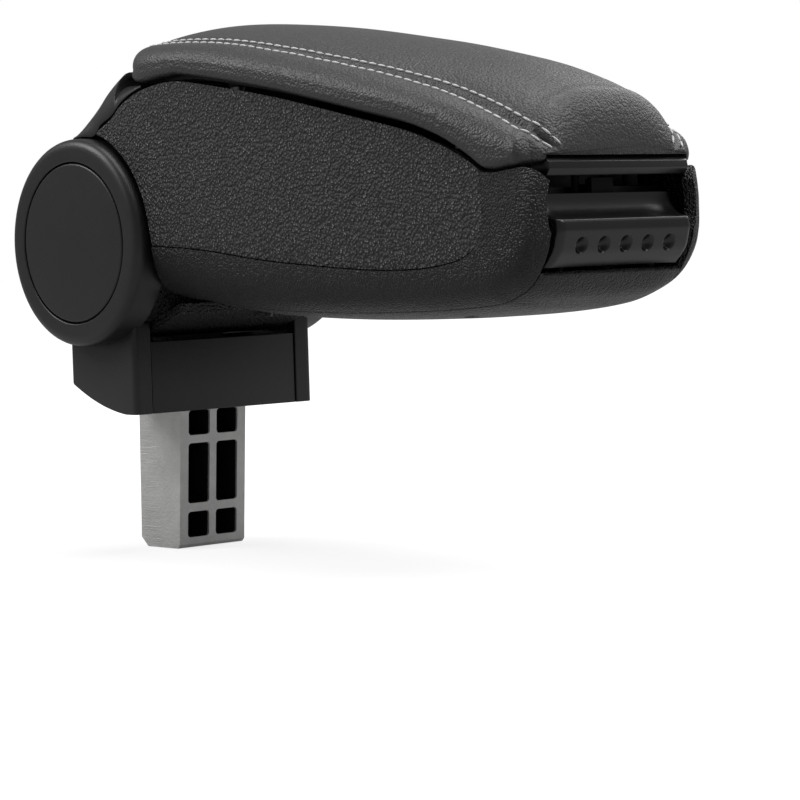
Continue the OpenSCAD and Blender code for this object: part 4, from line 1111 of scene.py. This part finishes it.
# Latch handle: the finger plate in the front opening. A cove for the fingertips rises above
# it to the lid's edge, five dimples mark where to press, and its end plates turn on
# the pivot pin in the belly shell.
PLATE_X = 265.0
PLATE_TOP = 3.0
PLATE_LOW = -14.1
HANDLE_HALF = 37.1
DIMPLE_R = 3.3
DIMPLE_DEEP = 3.8
DIMPLE_PITCH = 12.2
DIMPLE_DROP = 9.0
DIMPLE_COUNT = 5
END_ROUND = 3.2
END_PLATE = (34.5, 37.0)
INNER_PLATE = (27.4, 30)
COVE_X, COVE_Z, COVE_R = 254.5, 13.4, 9.4
plate_line = smooth_line([
    (PLATE_X - 7.6, PLATE_LOW), (PLATE_X - 4.6, PLATE_LOW + 3.0), (PLATE_X - 2, PLATE_LOW + 6.4),
    (PLATE_X - 0.6, PLATE_LOW + 11), (PLATE_X, PLATE_TOP - 3.6),
    (PLATE_X - 0.1, PLATE_TOP - 1.4)], 90)
lip = [(PLATE_X - 0.3, PLATE_TOP - 0.3), (PLATE_X - 0.7, PLATE_TOP + 0.55),
       (PLATE_X - 1.3, PLATE_TOP + 0.95)]
cove_line = [(COVE_X + COVE_R * (1 - np.sin(a)), COVE_Z - COVE_R * np.cos(a))
             for a in np.radians(np.linspace(4, 90, 26))]
handle_line = spaced(np.vstack([plate_line, lip, cove_line]), 170)
end_y = np.array([34.6, 35.3, 35.9, 36.4, 36.8, 37.0, HANDLE_HALF])
handle_y = np.concatenate([-end_y[::-1], np.linspace(-34, 34, 171), end_y])
over = np.clip(np.abs(handle_y) - (HANDLE_HALF - END_ROUND), 0, END_ROUND)
back = END_ROUND - np.sqrt(np.maximum(END_ROUND ** 2 - over ** 2, 0))
handle_net = np.array([[(x - b, y, z) for y, b in zip(handle_y, back)] for x, z in handle_line])
for k in range(DIMPLE_COUNT):
    apart = np.hypot(handle_net[..., 1] - (k - DIMPLE_COUNT // 2) * DIMPLE_PITCH,
                     handle_net[..., 2] - PLATE_TOP + DIMPLE_DROP)
    inside = np.clip(1 - (apart / DIMPLE_R) ** 2, 0, 1) * (handle_net[..., 0] > PLATE_X - 6)
    handle_net[..., 0] -= DIMPLE_DEEP * inside ** 1.1
end_line = rounded([
    (PLATE_X - 9.5, PLATE_LOW + 0.6), (PLATE_X - 5.4, PLATE_LOW + 4.2),
    (PLATE_X - 3.2, PLATE_LOW + 8), (PLATE_X - 2.2, PLATE_TOP - 3),
    (PLATE_X - 4.6, PLATE_TOP - 0.4), (260.5, 3), (253.5, 8.4), (252.3, 5.4), (247.5, -8),
    (246.5, -13), (250.5, PLATE_LOW)], 3)
handle = moulding("latch_plate", [(handle_net, (1, 0, 0), 2.2)], edge=0.35, sharp=60)
arms = make("latch_arms", both_prisms(end_line, *END_PLATE)
            + both_prisms(end_line, *INNER_PLATE), edge=0.3)
join(handle, arms)
fit(settle(handle), gloss, "latch", "gloss_black", "latch_handle")

# Studio: a pale floor under the stub, a white surround, and soft lamps overhead, on the
# far side, in front and on the near side. The camera stands at the photograph's angle.
FLOOR_Z = -0.0612
FLOOR_TONE = 0.3
LIFT_NEAR = 0.78
LIFT_FAR = 0.24
MIRRORED_SHARE = 0.2
SKY_SHARE = 0.1
FILL = 0.2


def in_view(finish, share):
    """1 where the camera looks, and a share of it in mirrored light."""
    seen, mirrored_ray, through = [finish.add("ShaderNodeLightPath", output="Is %s Ray" % kind)
                                   for kind in ("Camera", "Glossy", "Transmission")]
    return seen + share * (mirrored_ray + through)


stage_white = Finish("studio_floor")
lit = stage_white.add("ShaderNodeBsdfDiffuse", None, {"Color": (FLOOR_TONE,) * 3 + (1,)})
away = stage_white.add("ShaderNodeVectorMath", {"operation": "LENGTH"},
                       {0: stage_white.place}, "Value")
lift = LIFT_NEAR + LIFT_FAR * stage_white.ramp(away, 0.25, 0.9)
glow = stage_white.add("ShaderNodeEmission", None, {
    "Color": (1, 1, 1, 1), "Strength": lift * in_view(stage_white, MIRRORED_SHARE)})
summed = stage_white.add("ShaderNodeAddShader", None, {0: lit, 1: glow})
stage_white.add("ShaderNodeOutputMaterial", None, {"Surface": summed})
bpy.ops.mesh.primitive_plane_add(size=12, location=(0, 0, FLOOR_Z))
floor = bpy.context.object
floor.name = "studio_floor"
floor.data.materials.append(stage_white.material)
floor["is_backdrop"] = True

bpy.context.scene.world = bpy.data.worlds.new("studio")
surround = Finish("studio", bpy.context.scene.world)
sky = surround.add("ShaderNodeBackground", None, {
    "Color": (1, 1, 1, 1), "Strength": FILL + (1 - FILL) * in_view(surround, SKY_SHARE)})
surround.add("ShaderNodeOutputWorld", None, {"Surface": sky})


def lamp(name, spot, aim, size, power):
    light = bpy.data.lights.new(name, "AREA")
    light.shape = "RECTANGLE"
    light.size, light.size_y = size
    light.energy = power
    holder = place(name, light)
    holder.location = spot
    toward = (np.array(aim) - np.array(spot)).tolist()
    holder.rotation_euler = Vector(toward).to_track_quat("-Z", "Y").to_euler()


lamp("overhead", (0.15, 0.1, 1.5), (0.12, 0, 0.08), (1.1, 1.0), 14)
lamp("far_side", (0.1, 1.3, 1.0), (0.15, 0, 0.08), (1.2, 0.8), 9)
lamp("front_right", (1.2, 0.3, 1.45), (0.2, 0, 0.08), (0.8, 0.6), 12)
lamp("near_left", (-0.62, -0.72, 0.8), (0.05, 0, 0.1), (0.5, 0.5), 7)

camera_data = bpy.data.cameras.new("camera")
camera_data.lens = 134.27
camera_data.sensor_width = 36
camera_data.clip_start = 0.05
camera_data.clip_end = 50
camera = place("camera", camera_data)
view_axes = ((0.6858129, -0.02199715, 0.72744539, 1.02465),
             (0.72714588, 0.06235798, -0.6836449, -0.83677),
             (-0.03032379, 0.99781141, 0.05876104, 0.07780),
             (0, 0, 0, 1))
camera.matrix_world = Matrix(view_axes)
bpy.context.scene.camera = camera
bpy.context.scene.view_settings.view_transform = "Standard"

low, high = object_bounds()
